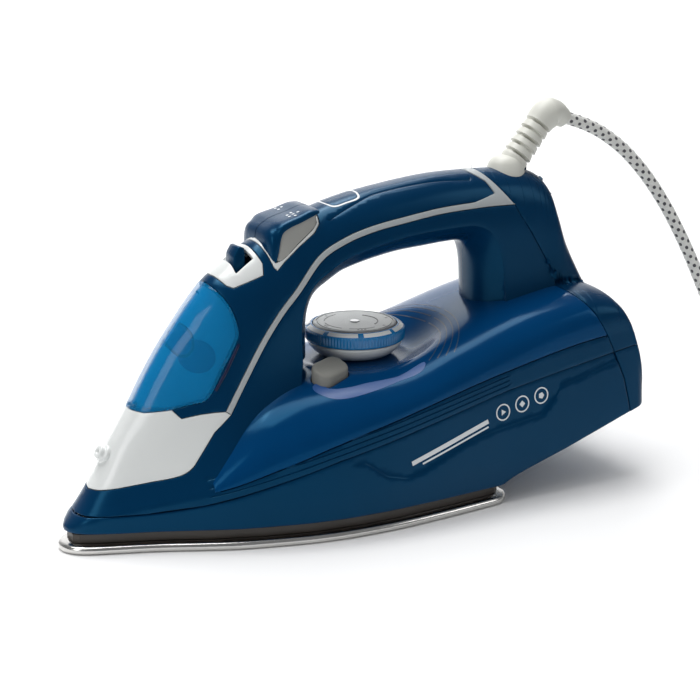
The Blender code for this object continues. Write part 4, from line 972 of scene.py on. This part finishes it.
def make_front():
    """The navy frame round the lid, the white window of the lever, and the lid itself."""
    upper = curved(TOP_STRIP, 1.0)
    start = TOP_STRIP[STRIP_START]
    strip = [p for p in upper if start[0] <= p[0] < 76]
    outline = curved(LID_SIDE, 1.0)[::-1][:-1] + FRAME_EDGE + strip
    outline += GRIP_REAR[::-1] + [(67, 165), (-16, 165)]
    outline += CRADLE[::-1][1:-1] + [(-53, 143), (-55, 142)] + BEZEL[::-1][1:-1] + [(-76, 128)]
    groove = [(-13.5, -12.4), (1.5, -9.8), (13, -7.6), (43, -8.2), (66, -10)]
    spots = [RIDGE_SIDE.spot(RIDGE_SIDE.place_plan(x, y)) for x, y in curved(groove, 1.5)]
    groove = [([(p[0], p[2]) for p in spots], 0.8, 0.4)]
    front = skin("front_frame", RIDGE_SIDE, outline, NAVY, grooves=groove)
    stands_for(front, "navy_gloss", "front_cover", "handle_grip", "grip_inlay")
    lid_side = curved(LID_SIDE, 1.0)
    foot = front_at(LID_FOOT[-1][1] + 0.3)
    rest = [(-77, 126), (foot, 126), (foot, LID_FOOT[-1][1])] + LID_FOOT[-2::-1]
    lid = skin("lid_shell", RIDGE_SIDE, lid_side + rest, CYAN,
               body="lid", depth=1.8, lift=0.2, spacing=1.8)
    stands_for(lid, "lid_clear", "filler_lid")
    catch = [(-80.5, 73), (-75, 80.8), (-67.6, 93)]
    bar = beside(catch, -1.9) + beside(catch, -0.5)[::-1]
    bar = skin("lid_catch", RIDGE_SIDE, bar, FUNNEL_DARK, depth=0.8, edge=0.5, gap=0, lift=0.5)
    pin = turned([(0, -3), (0.9, -3), (0.9, 3), (0, 3)], (-111.9, 0, 64.6), (0, 1, 0), 24)
    stands_for(mesh_piece("lid_hinge", *pin, DEEP_NAVY), "navy_gloss", "lid_pin")
    notch = [(float(x), RIDGE_SIDE.spot(RIDGE_SIDE.place_plan(x, 9.8))[2])
             for x in np.linspace(-62, -53.2, 12)]
    window = BEZEL[:-1] + [(-53.2, 140), (-55, 140), (-54.6, 133.5)] + notch[::-1] + [(-62, 137), (-76, 137)]
    bezel = skin("lever_window", RIDGE_SIDE, window, WHITE, lift=0.1, depth=3.0)
    stands_for(bezel, "white_gloss", "lever_bezel")


def ellipse(centre, radii, count=60):
    return [(centre[0] + radii[0] * cos(2 * pi * i / count), centre[1] + radii[1] * sin(2 * pi * i / count))
            for i in range(count)]


def make_mouth():
    """The filler's liner with the round mouth, and a darker oval beside the mouth that is painted shade,
    seen through the lid.
    """
    foot = front_at(LID_FOOT[-1][1] + 1.5)
    liner = curved(LID_SIDE, 1.0) + [(-77, 126), (foot, 126), (foot, LID_FOOT[-1][1] + 1.2), (-110, 64.2)]
    liner = skin("funnel_liner", RIDGE_SIDE, liner, FUNNEL, depth=0.8, lift=-2.3, gap=1.2, edge=0.2)
    middle, reach = (-91.2, 95.5), (5.6, 8)
    # The darker oval beside the mouth is painted shade: a sheet of darker blue under the lid.
    shade_lobe, rim = ellipse((-85.5, 88), (8, 7.6)), ellipse(middle, reach)
    hole = ellipse(middle, (reach[0] - 1.1, reach[1] - 1.4))
    ring = rim + [rim[0]] + [hole[0]] + hole[:0:-1]
    for name, outline, paint, lift in (("shade_lobe", shade_lobe, FUNNEL_MID, -2.15), ("disc", hole, FUNNEL_MID, -2.05),
                                       ("rim", ring, FUNNEL_DARK, -1.95)):
        skin(f"mouth_{name}", RIDGE_SIDE, outline, paint, depth=0.25, edge=0.1, gap=0, lift=lift,
                     sides="n", step=1.0)


def make_cradle():
    """The white bed of the buttons with a grey panel let into each side."""
    border = [(-42.7, 127.4), (-39.8, 128.6), (-31.5, 134.4), (-23, 139.9), (-20, 142.6), (-19.4, 144.6)]
    rim = CRADLE + [(-19.2, 156)] + border[::-1] + [(-44.4, 127), (-45, 131), (-45.8, 136), (-46, 143)]
    bed = skin("button_bed", RIDGE_SIDE, rim, WHITE)
    stands_for(bed, "white_gloss", "button_cradle")
    low = curved(border, 0.4)
    for name, sign in (("near", -1), ("far", 1)):
        rings = []
        for i, (x, z) in enumerate(low):
            y = -float(RIDGE_SIDE.spot(RIDGE_SIDE.place(x, z))[1]) - 0.15
            top_x = -43.4 + (i / (len(low) - 1)) * 23.8
            top_y, top_z = smooth(KEY_WIDTH, top_x) - 0.9, smooth(KEY_LOW, top_x) + 0.8
            rings.append([(x, sign * y, z), (top_x, sign * top_y, top_z),
                          (top_x, sign * (top_y - 1.2), top_z), (x, sign * (y - 1.2), z)])
        ringed(f"button_panel_{name}", rings, PALE_GREY)


KEY_TOP = [(-47, 135), (-46.5, 139), (-45.2, 141.3), (-42.8, 143), (-39.3, 144.8), (-30, 147.2),
           (-22.3, 149.2), (-19.4, 149)]
KEY_LOW = [(-47, 132), (-46.4, 129), (-45.6, 125.6), (-44.4, 126), (-42.3, 131.5), (-40.9, 137.5),
           (-39.6, 140.2), (-36.3, 142), (-29.2, 144), (-19.4, 147.2)]
KEY_WIDTH = [(-47, 9.6), (-46.4, 12), (-45.6, 14.3), (-44.4, 15.3), (-40, 14.8), (-30, 13.6), (-19.4, 12.6)]


def make_buttons():
    for kind, sign in (("spray", 1), ("burst", -1)):
        rings = []
        for x in np.linspace(-47, -19.4, 64):
            crown, foot, half = smooth(KEY_TOP, x), smooth(KEY_LOW, x), smooth(KEY_WIDTH, x)
            ring = [(x, sign * 0.25, foot - 0.5)]
            for i in range(26):
                angle = pi / 2 * i / 25
                y = half * sin(angle) ** 0.42
                ring.append((x, sign * max(y, 0.25), foot + max(crown - foot, 0.5) * cos(angle) ** 0.5))
            rings.append(ring)
        stands_for(ringed(f"{kind}_key", rings, NAVY, kind, sharp=50), "navy_gloss", f"{kind}_button")
    cloud = [(-28, -7.5), (-30.4, -5), (-30.6, -7.5), (-30.8, -10), (-33, -6.2), (-33.2, -8.8)]
    for k, (x, y) in enumerate(cloud):
        add_key_dot(f"burst_dot_{k}", x, y, "burst")
    for k, (x, y) in enumerate([(-29, 7), (-31.4, 5.4), (-31.4, 8.6)]):
        add_key_dot(f"spray_dot_{k}", x, y, "spray")


def add_key_dot(name, x, y, body):
    """A small printed dot on a button's crown."""
    crown, foot, half = smooth(KEY_TOP, x), smooth(KEY_LOW, x), smooth(KEY_WIDTH, x)
    angle = np.arcsin(min((abs(y) / half), 1) ** (1 / 0.42))
    z = foot + (crown - foot) * cos(angle) ** 0.5
    solid = turned([(0, -0.4), (0.7, -0.4), (0.7, 0.1), (0.5, 0.16), (0, 0.16)], (x, y, z),
                   (-0.25, 0, 1), 16)
    mesh_piece(name, *solid, PRINT_WHITE, body=body)


def make_lever():
    arm = [(-44, 110), (-44, 114), (-55, 114), (-55.8, 133.8), (-57.8, 133.8), (-60.2, 130), (-60.2, 118),
           (-58, 110)]
    arm = rounded_profile(arm, 1.4, closed=True)
    rings = [[(x + (pull if x < -50 else 0), y, z - pull * 0.5) for x, z in arm]
             for y, pull in ((-4.6, 0.9), (-4.3, 0.3), (-3.7, 0), (3.7, 0), (4.3, 0.3), (4.6, 0.9))]
    stands_for(ringed("lever_tab", rings, NAVY, "lever"), "navy_gloss", "steam_lever")


def make_lens():
    lens = curved([(-11.5, 0.0), (-10.9, -4), (-8.6, -7.6), (-2, -8.1), (5, -7.6), (6.6, -4), (6.8, 0)], 0.7)
    inner = [(-2.5 + (x + 2.5) * 0.9, y * 0.885) for x, y in lens]
    ring = lens + inner[::-1]
    skin("lens_ring", RIDGE_SIDE, ring, PRINT_WHITE, depth=0.6, edge=0.1, gap=0, lift=0.14, plan=True,
                 spacing=1.5)
    cap = skin("lens_cap", RIDGE_SIDE, inner, NAVY, depth=0.6, edge=0.15, gap=0.05, lift=0.2, plan=True,
               spacing=1.5)
    stands_for(cap, "navy_gloss", "indicator_lens")


def make_rear():
    outline = UPPER_HEEL_SEAM + TRIM_REAR[1:] + [(170, 162)] + DIVIDE
    stands_for(skin("rear_shell", REAR_SIDE, outline, NAVY, spacing=1.3), "navy_gloss", "rear_cover")
    outline = HEEL_SEAM + [(170, 15)] + DIVIDE
    stands_for(skin("heel_shell", TANK_SIDE, outline, NAVY, spacing=1.8), "navy_gloss", "heel_rest")


# ---------------------------------------------------------------- sole, dial and small pieces


def make_sole():
    """A stainless plate with a rolled rim and drilled steam holes."""
    profile = [(0, 1.8), (0.25, 0.9), (0.8, 0.25), (1.6, 0), (2.6, 0), (3.4, 0.5), (SOLE_THICK, 1.5)]
    rings = [[(x, y, z) for x, y in outline_of(sole_half_width, SOLE_FRONT, SOLE_REAR, inset)]
             for z, inset in profile]
    holes = [(-132, 0)]
    for x, y in ((-112, 12), (-88, 21), (-60, 29), (-30, 35)):
        holes += [(x, -y), (x, y)]
    circle = ellipse((0, 0), (1, 1), 20)
    loops = [[p[:2] for p in rings[0]]] + [[(x + 2 * c, y + 2 * s) for c, s in circle] for x, y in holes]
    flat, tris = triangulated(loops, [], 7)
    wall, wall_faces = bridged(rings)
    solids = [(wall, wall_faces[1:]), ([(x, y, 0.0) for x, y in flat], tris[:, ::-1].tolist())]
    for x, y in holes:
        well = [[(x + r * c, y + r * s, z) for c, s in circle] for z, r in ((0, 2), (0.6, 1.6), (3, 1.5))]
        points, faces = bridged(well)
        solids.append((points, [f[::-1] for f in faces[1:]]))
    points, faces = joined(*solids)
    spots, first, inverse = np.unique(np.round(points, 3), axis=0, return_index=True, return_inverse=True)
    inverse = inverse.reshape(-1)
    faces = [tuple(inverse[list(f)]) for f in faces]
    faces = [f for f in faces if len(set(f)) == len(f)]
    sole = mesh_piece("sole_plate", spots, faces, STAINLESS, sharp=50)
    stands_for(sole, "stainless", "soleplate")


def sector(profile, start, end, steps=10):
    """Part of a ring: (radius, height) pairs round its section, swept from one angle to another."""
    rings = []
    for i in range(steps + 1):
        a = radians(start + (end - start) * i / steps)
        rings.append([(DIAL_X + r * cos(a), r * sin(a), DIAL_Z + h) for r, h in profile])
    return outward(*bridged(rings))


def make_dial():
    centre = (DIAL_X, 0, DIAL_Z)
    base = rounded_profile([(3.2, -8.3), (14, -8.3), (17.5, -7.4), (20.6, -5.2), (22.8, -2.6), (23.6, -0.35),
                            (3.2, -0.35)], 1.2, closed=True)
    stands_for(mesh_piece("dial_seat", *turned(base, centre, sides=96, bored=True), WHITE),
               "white_gloss", "dial_base")
    side = [(21.6, 0), (24, 0), (24.3, 0.4), (24.3, 1.0), (24.3, 2.2), (24.3, 3.6), (24.3, 4.8), (24.1, 5.4),
            (21.4, 7.2), (20.9, 7.3), (20.7, 7.0), (20.7, 5.2), (10, 5.2), (10, 0)]

    def ribs(r, h, a):
        return r + 0.2 * cos(96 * a) if r > 24.2 and 0.5 < h < 4.9 else r

    ring = mesh_piece("dial_rim", *turned(side, centre, sides=576, bored=True, radius_at=ribs), DIAL_BLUE,
                      body="dial", sharp=30)
    stands_for(ring, "dial_blue", "dial_ring")
    for k in range(8):
        block = [(21.55, 7.0), (21.75, 7.25), (23.55, 6.05), (23.5, 5.7)]
        mesh_piece(f"dial_block_{k}", *sector(block, 45 * k - 19, 45 * k + 19), WHITE, body="dial")
    cap = [(2.4, 5.4), (20.4, 5.4), (20.4, 7.2), (19.8, 7.8), (18.9, 7.9), (18.7, 7.55), (18.3, 7.55),
           (18.1, 7.9), (13, 7.8), (8, 7.7), (2.4, 7.65)]
    stands_for(mesh_piece("dial_disc", *turned(cap, centre, sides=96, bored=True), DIAL_SILVER, body="dial"),
               "dial_silver", "dial_cap")
    hub = [(0, 6.4), (2.3, 6.4), (2.3, 7.7), (1.9, 7.85), (0, 7.9)]
    mesh_piece("dial_hub", *turned(hub, centre, sides=32), DIAL_SILVER, body="dial")
    arcs = ((100, 150, 14.5), (165, 215, 14.5), (230, 280, 14.5), (-60, 40, 11))
    for k, (start, end, r) in enumerate(arcs):
        mark = [(r, 7.5), (r, 7.92), (r + 0.55, 7.92), (r + 0.55, 7.5)]
        mesh_piece(f"dial_arc_{k}", *sector(mark, start, end), PRINT_DARK, body="dial")
    for k, angle in enumerate((118, 180, 186, 246, 252, 258, 300, 350)):
        mark = [(15.8, 7.5), (15.8, 7.93), (17, 7.93), (17, 7.5)]
        mesh_piece(f"dial_dot_{k}", *sector(mark, angle - 1.6, angle + 1.6, 3), PRINT_DARK, body="dial")


def make_calc_button():
    levels = [(-4, 0.3), (0.3, 0), (4.6, 0), (5.4, 0.25), (5.85, 0.8), (6.0, 1.6), (5.8, 3.0), (5.7, 4.4)]
    rings = []
    for h, inset in levels:
        corner = max(5 - inset, 0.6)
        outline = rounded_outline(CALC_AT, CALC_PLAN[0] - 2 * inset, CALC_PLAN[1] - 2 * inset, corner,
                                  CALC_TURN)
        lean = 0.32 * max(h, 0) / 5
        rings.append([(x, y, CALC_FOOT + h + lean * (y - CALC_AT[1])) for x, y in outline])
    stands_for(ringed("calc_key", rings, BUTTON_GREY, "calc"), "button_grey", "calc_button")


def add_mark(name, outline, spacing=2):
    """A thin white mark on the near side's sunk panel."""
    skin(name, RIDGE_SIDE, outline, PRINT_WHITE, depth=0.2, edge=0, gap=0, lift=-0.5, sides="n",
                 spacing=spacing)


def make_print():
    """Plain marks in place of the printed ones, three rings and two bars, and a lighter patch on the tank
    that is a painted highlight.
    """
    for k, (x, z) in enumerate(((62, 46.5), (73.5, 48.8), (85, 51.2))):
        circle = ellipse((x, z), (4.2, 4.2), 40)
        inside = [(x + (a - x) * 0.84, z + (b - z) * 0.84) for a, b in [circle[0]] + circle[::-1]]
        add_mark(f"mark_ring_{k}", circle + [circle[0]] + inside)
        add_mark(f"mark_sign_{k}", ellipse((x, z), (1.7, 1.7), 3 + k))
    for k, (start, end, rise, half) in enumerate(((8, 53, 5.4, 1.1), (14, 53, 2.6, 0.45))):
        line = [(x, 24.5 + (x - 5) * 0.285 + rise) for x in (start, end)]
        bar = beside(line, half) + beside(line, -half)[::-1]
        add_mark(f"mark_bar_{k}", bar, spacing=3)
    # A painted highlight: a lighter, bluer patch on the near side of the tank.
    lit_patch = [(-30, -37), (-33, -30), (-29, -27.5), (-26, -33.5), (-17, -36.5), (-8, -37), (8, -38.5),
            (24, -38), (6, -41.5), (-12, -42.5), (-24, -41)]
    skin("tank_painted_highlight", TANK_SIDE, curved(lit_patch, 1.5, closed=True), TANK_HIGHLIGHT, depth=0.15, edge=0,
                 gap=0, lift=0.05, sides="n", plan=True, spacing=2)


# ---------------------------------------------------------------- mains lead

CORD_ROUTE = [(131.5, 0, 177), (142.5, 0, 173), (154, -0.5, 167), (167, -2, 157), (180, -4.5, 142.5),
              (192, -8, 124), (203, -12, 102), (213, -16, 78), (224, -20, 53), (237, -24, 30),
              (252, -26.5, 13), (264, -27.5, 5.5), (276, -27.75, 4)]
COIL_CENTRE, COIL_RADII, COIL_Z = (300.0, 15.0), (42.75, 36.0, 29.25), (4.55, 11.1)
PLUG_START, PLUG_Y, PLUG_Z = 326.6, -27.7, 7.0
TURN_STEPS = 40


def eased(t):
    t = min(max(t, 0), 1)
    return t * t * (3 - 2 * t)


def coil_points():
    """Three turns inwards on the floor and three outwards on top of them."""
    radii = [*COIL_RADII, *reversed(COIL_RADII)]
    points = []
    for i in range(6 * TURN_STEPS + 1):
        turn, part = divmod(i / TURN_STEPS, 1)
        turn = int(turn)
        if turn == 6:
            turn, part = 5, 1.0
        after = radii[min(turn + 1, 5)]
        r = radii[turn] + (after - radii[turn]) * eased((part - 0.8) / 0.2)
        z = COIL_Z[0] if turn < 2 else COIL_Z[1]
        if turn == 2:
            z = COIL_Z[0] + (COIL_Z[1] - COIL_Z[0]) * eased((part - 0.5) / 0.25)
        angle = -pi / 2 + 2 * pi * (turn + part)
        points.append((COIL_CENTRE[0] + r * cos(angle), COIL_CENTRE[1] + r * sin(angle), z))
    return points


def spaced(points, step):
    """The same line with its points at even steps."""
    line = np.array(points, float)
    run = np.concatenate([[0], np.cumsum(np.linalg.norm(np.diff(line, axis=0), axis=1))])
    at = np.linspace(0, run[-1], int(run[-1] / step) + 1)
    return [tuple(float(np.interp(s, run, line[:, k])) for k in range(3)) for s in at], float(run[-1])


def make_lead():
    tail = [(306, -27.75, 11.0), (316, -27.7, 9), (PLUG_START, PLUG_Y, PLUG_Z)]
    path, length = spaced(curved([(125, 0, 179)] + CORD_ROUTE, 2.0) + coil_points() + curved(tail, 2.0), 1.7)
    sides = 14
    rings = tube(path, [CORD_R] * len(path), sides)
    points, faces = bridged(rings)
    lead = mesh_piece("lead_braid", points, [f[::-1] for f in faces], BRAID, body="lead", sharp=60)
    chart = lead.data.uv_layers.new(name="UVMap")
    step = length / (len(path) - 1)
    for polygon in lead.data.polygons:
        spots = [divmod(lead.data.loops[i].vertex_index, sides) for i in polygon.loop_indices]
        wraps = max(k for _, k in spots) == sides - 1 and min(k for _, k in spots) == 0
        for i, (row, k) in zip(polygon.loop_indices, spots):
            chart.data[i].uv = (row * step, (k + sides * (wraps and k == 0)) / sides)
    stands_for(lead, "cord_braid", "mains_cord", "cord_coil")
    make_plug()
    make_tie()


def make_plug():
    """The moulded plug with its ribbed strain relief."""
    start, y, z = PLUG_START, PLUG_Y, PLUG_Z
    sections = []
    for i in range(37):
        s = i / 36 * 18.5
        rib = 0.55 * max(0, sin(s / 18.5 * pi * 10)) if 2 < s < 17 else 0
        sections.append((s, 4.4 + 0.022 * s - rib, 4.4 + 0.022 * s - rib))
    for s, w, h in ((19.5, 5.4, 5), (21, 7.5, 5.6), (24, 10.5, 6), (29, 12.4, 6.35), (34, 12.9, 6.4),
                    (44, 12.9, 6.4), (50, 12.8, 6.3), (51.6, 12.2, 5.9), (52, 11.4, 5.2)):
        sections.append((s, w, h))
    rings = []
    for s, w, h in sections:
        round_power = 2 if s < 20 else 3.2
        ring = []
        for k in range(48):
            a = 2 * pi * k / 48
            c, d = cos(a), sin(a)
            size = (abs(c) ** round_power + abs(d) ** round_power) ** (-1 / round_power)
            ring.append((start + s, y + w * size * c, z + h * size * d))
        rings.append(ring)
    plug = ringed("plug_shell", rings, CORD_WHITE, "lead", sharp=35)
    return stands_for(plug, "cord_white", "plug_body")


def make_tie():
    """A woven band round one side of the coil."""
    inner, outer, low, high = 24.4, 46.9, 0.15, 15.4
    loop = []
    for grow in (0, 0.8):
        y0, y1 = COIL_CENTRE[1] + inner - 0.2 + grow, COIL_CENTRE[1] + outer + 0.3 - grow
        z0, z1 = low + grow * 0.9, high + 0.2 - grow
        corners = [(y0, z0), (y1, z0), (y1, z1), (y0, z1)]
        loop.append(rounded_profile(corners, 3.4 - grow, closed=True))
    rings = []
    x = COIL_CENTRE[0]
    for shift, which in ((-4, 0), (4, 0), (4, 1), (-4, 1)):
        rings.append([(x + shift, y, z) for y, z in loop[which]])
    band = ringed("lead_tie", rings, LEAD_BLACK, "lead", closed=True)
    return stands_for(band, "lead_black", "cord_tie")


def make_bushing():
    """The swivelling dome and the ribbed elbow that the lead comes out of."""
    dome = [(0, -1.5), (9.6, -1.5), (9.9, 0.2), (9.5, 2.0), (8.9, 4.0), (7.9, 6.4), (6.2, 8.2), (3.5, 9.3),
            (0, 9.6)]
    dome = rounded_profile(dome, 1.5)
    solid = turned(dome, (SWIVEL_X, 0, 152.8), (0, 0, 1), 64)
    stands_for(mesh_piece("swivel_dome", *solid, CORD_WHITE, body="lead"), "cord_white", "cord_swivel")
    path, length = spaced(curved([(97, 0, 157.2), (100.3, 0, 160.9), (104, 0, 165.2), (109, 0, 171.2),
                                  (114, 0, 177), (118, 0, 180.4), (122.4, 0, 180.6), (126, 0, 178.8),
                                  (129, 0, 176.8)], 0.5), 0.22)
    ribbed, ribs = 24.5, 5
    radii = []
    for i in range(len(path)):
        s = i / (len(path) - 1) * length
        body = np.interp(s, (0, 3, 20, 25, 29, 33, 37, length - 0.6, length),
                         (6.6, 7.3, 7.1, 7.1, 7.6, 7.9, 6.4, 4.8, 3.8))
        radii.append(float(body))

    def rib(i, angle, radius):
        s = i / (len(path) - 1) * length
        if not 1.2 < s < ribbed:
            return radius
        cell, part = divmod((s - 1.2) / (ribbed - 1.2) * ribs, 1)
        slot = eased((part - 0.66) / 0.08) * eased((0.98 - part) / 0.08)
        facing = 0.5 + 0.5 * cos(angle - 0.6 - pi * (cell % 2))
        return radius - slot * (0.9 + 2.6 * eased((facing - 0.35) / 0.3)) - 0.75 * part

    elbow = ringed("lead_elbow", tube(path, radii, 48, rib), CORD_WHITE, "lead", sharp=50)
    stands_for(elbow, "cord_white", "cord_bushing")


# ---------------------------------------------------------------- camera, light and floor

CAMERA_AIM, CAMERA_DISTANCE, LENS, SENSOR = (4.4, 0, 74), 975.4, 102.857, 36
CAMERA_AZIMUTH, CAMERA_ELEVATION = -30, 16.3


def make_camera():
    a, e = radians(CAMERA_AZIMUTH), radians(CAMERA_ELEVATION)
    back = Vector((sin(a) * cos(e), -cos(a) * cos(e), sin(e)))
    data = bpy.data.cameras.new("camera")
    data.lens, data.sensor_width, data.clip_end = LENS, SENSOR, 50
    camera = bpy.data.objects.new("camera", data)
    camera.location = (Vector(CAMERA_AIM) + back * CAMERA_DISTANCE) * MM
    camera.rotation_mode = "QUATERNION"
    camera.rotation_quaternion = (-back).to_track_quat("-Z", "Y")
    bpy.context.scene.collection.objects.link(camera)
    bpy.context.scene.camera = camera


def add_light(name, place, aim, size, power, colour=(1, 1, 1)):
    data = bpy.data.lights.new(name, "AREA")
    data.shape, data.size, data.size_y, data.energy, data.color = "RECTANGLE", *size, power, colour
    light = bpy.data.objects.new(name, data)
    light.location = place
    light.rotation_mode = "QUATERNION"
    light.rotation_quaternion = (Vector(aim) - Vector(place)).to_track_quat("-Z", "Y")
    bpy.context.scene.collection.objects.link(light)


def make_studio():
    """A white cove, soft boxes overhead and at both sides, and a light on the wall behind."""
    rings = []
    bend = [(1.6 + 0.8 * sin(radians(a)), 0.8 - 0.8 * cos(radians(a))) for a in range(0, 91, 6)]
    for y, z in [(-0.45, 0), *bend, (2.4, 5)]:
        rings.append([(-7 / MM, y / MM, z / MM), (7 / MM, y / MM, z / MM)])
    points = [p for ring in rings for p in ring]
    faces = [(2 * i, 2 * i + 1, 2 * i + 3, 2 * i + 2) for i in range(len(rings) - 1)]
    paint = Finish("cove_white")
    cloud = paint.noise(1.5, 2.0)
    paint.feed(Base_Color=paint.mixed(cloud, (0.93, 0.93, 0.93, 1), (0.97, 0.97, 0.97, 1)), Roughness=0.9)
    data = bpy.data.meshes.new("cove")
    data.from_pydata([tuple(c * MM for c in p) for p in points], [], faces)
    data.shade_smooth()
    cove = bpy.data.objects.new("cove", data)
    cove.rotation_euler = (0, 0, radians(CAMERA_AZIMUTH))
    data.materials.append(paint.made)
    bpy.context.scene.collection.objects.link(cove)
    world = bpy.data.worlds.new("studio")
    world.use_nodes = True
    world.node_tree.nodes["Background"].inputs[0].default_value = (0.95, 0.97, 1, 1)
    world.node_tree.nodes["Background"].inputs[1].default_value = 0.22
    bpy.context.scene.world = world
    add_light("top_box", (-0.1, 0.25, 1.3), (0, 0, 0.05), (1.3, 0.7), 15)
    add_light("left_box", (-1.3, -0.5, 0.75), (0, 0, 0.08), (0.5, 0.9), 4.5)
    add_light("right_box", (1.1, -1.0, 0.9), (0.05, 0, 0.08), (0.4, 0.8), 2)
    add_light("wall_light", (0.3, 0.9, 1.9), (-0.6, 2.6, 0.8), (2.5, 1.0), 60)
    view = bpy.context.scene.view_settings
    view.view_transform = "Standard"


def main():
    make_camera()
    paint_frame()
    make_lead()
    make_bushing()
    make_body()
    make_skirt()
    make_tank()
    make_nose()
    make_trim()
    make_front()
    make_mouth()
    make_cradle()
    make_buttons()
    make_lever()
    make_lens()
    make_rear()
    make_sole()
    make_dial()
    make_calc_button()
    make_print()
    make_studio()


main()
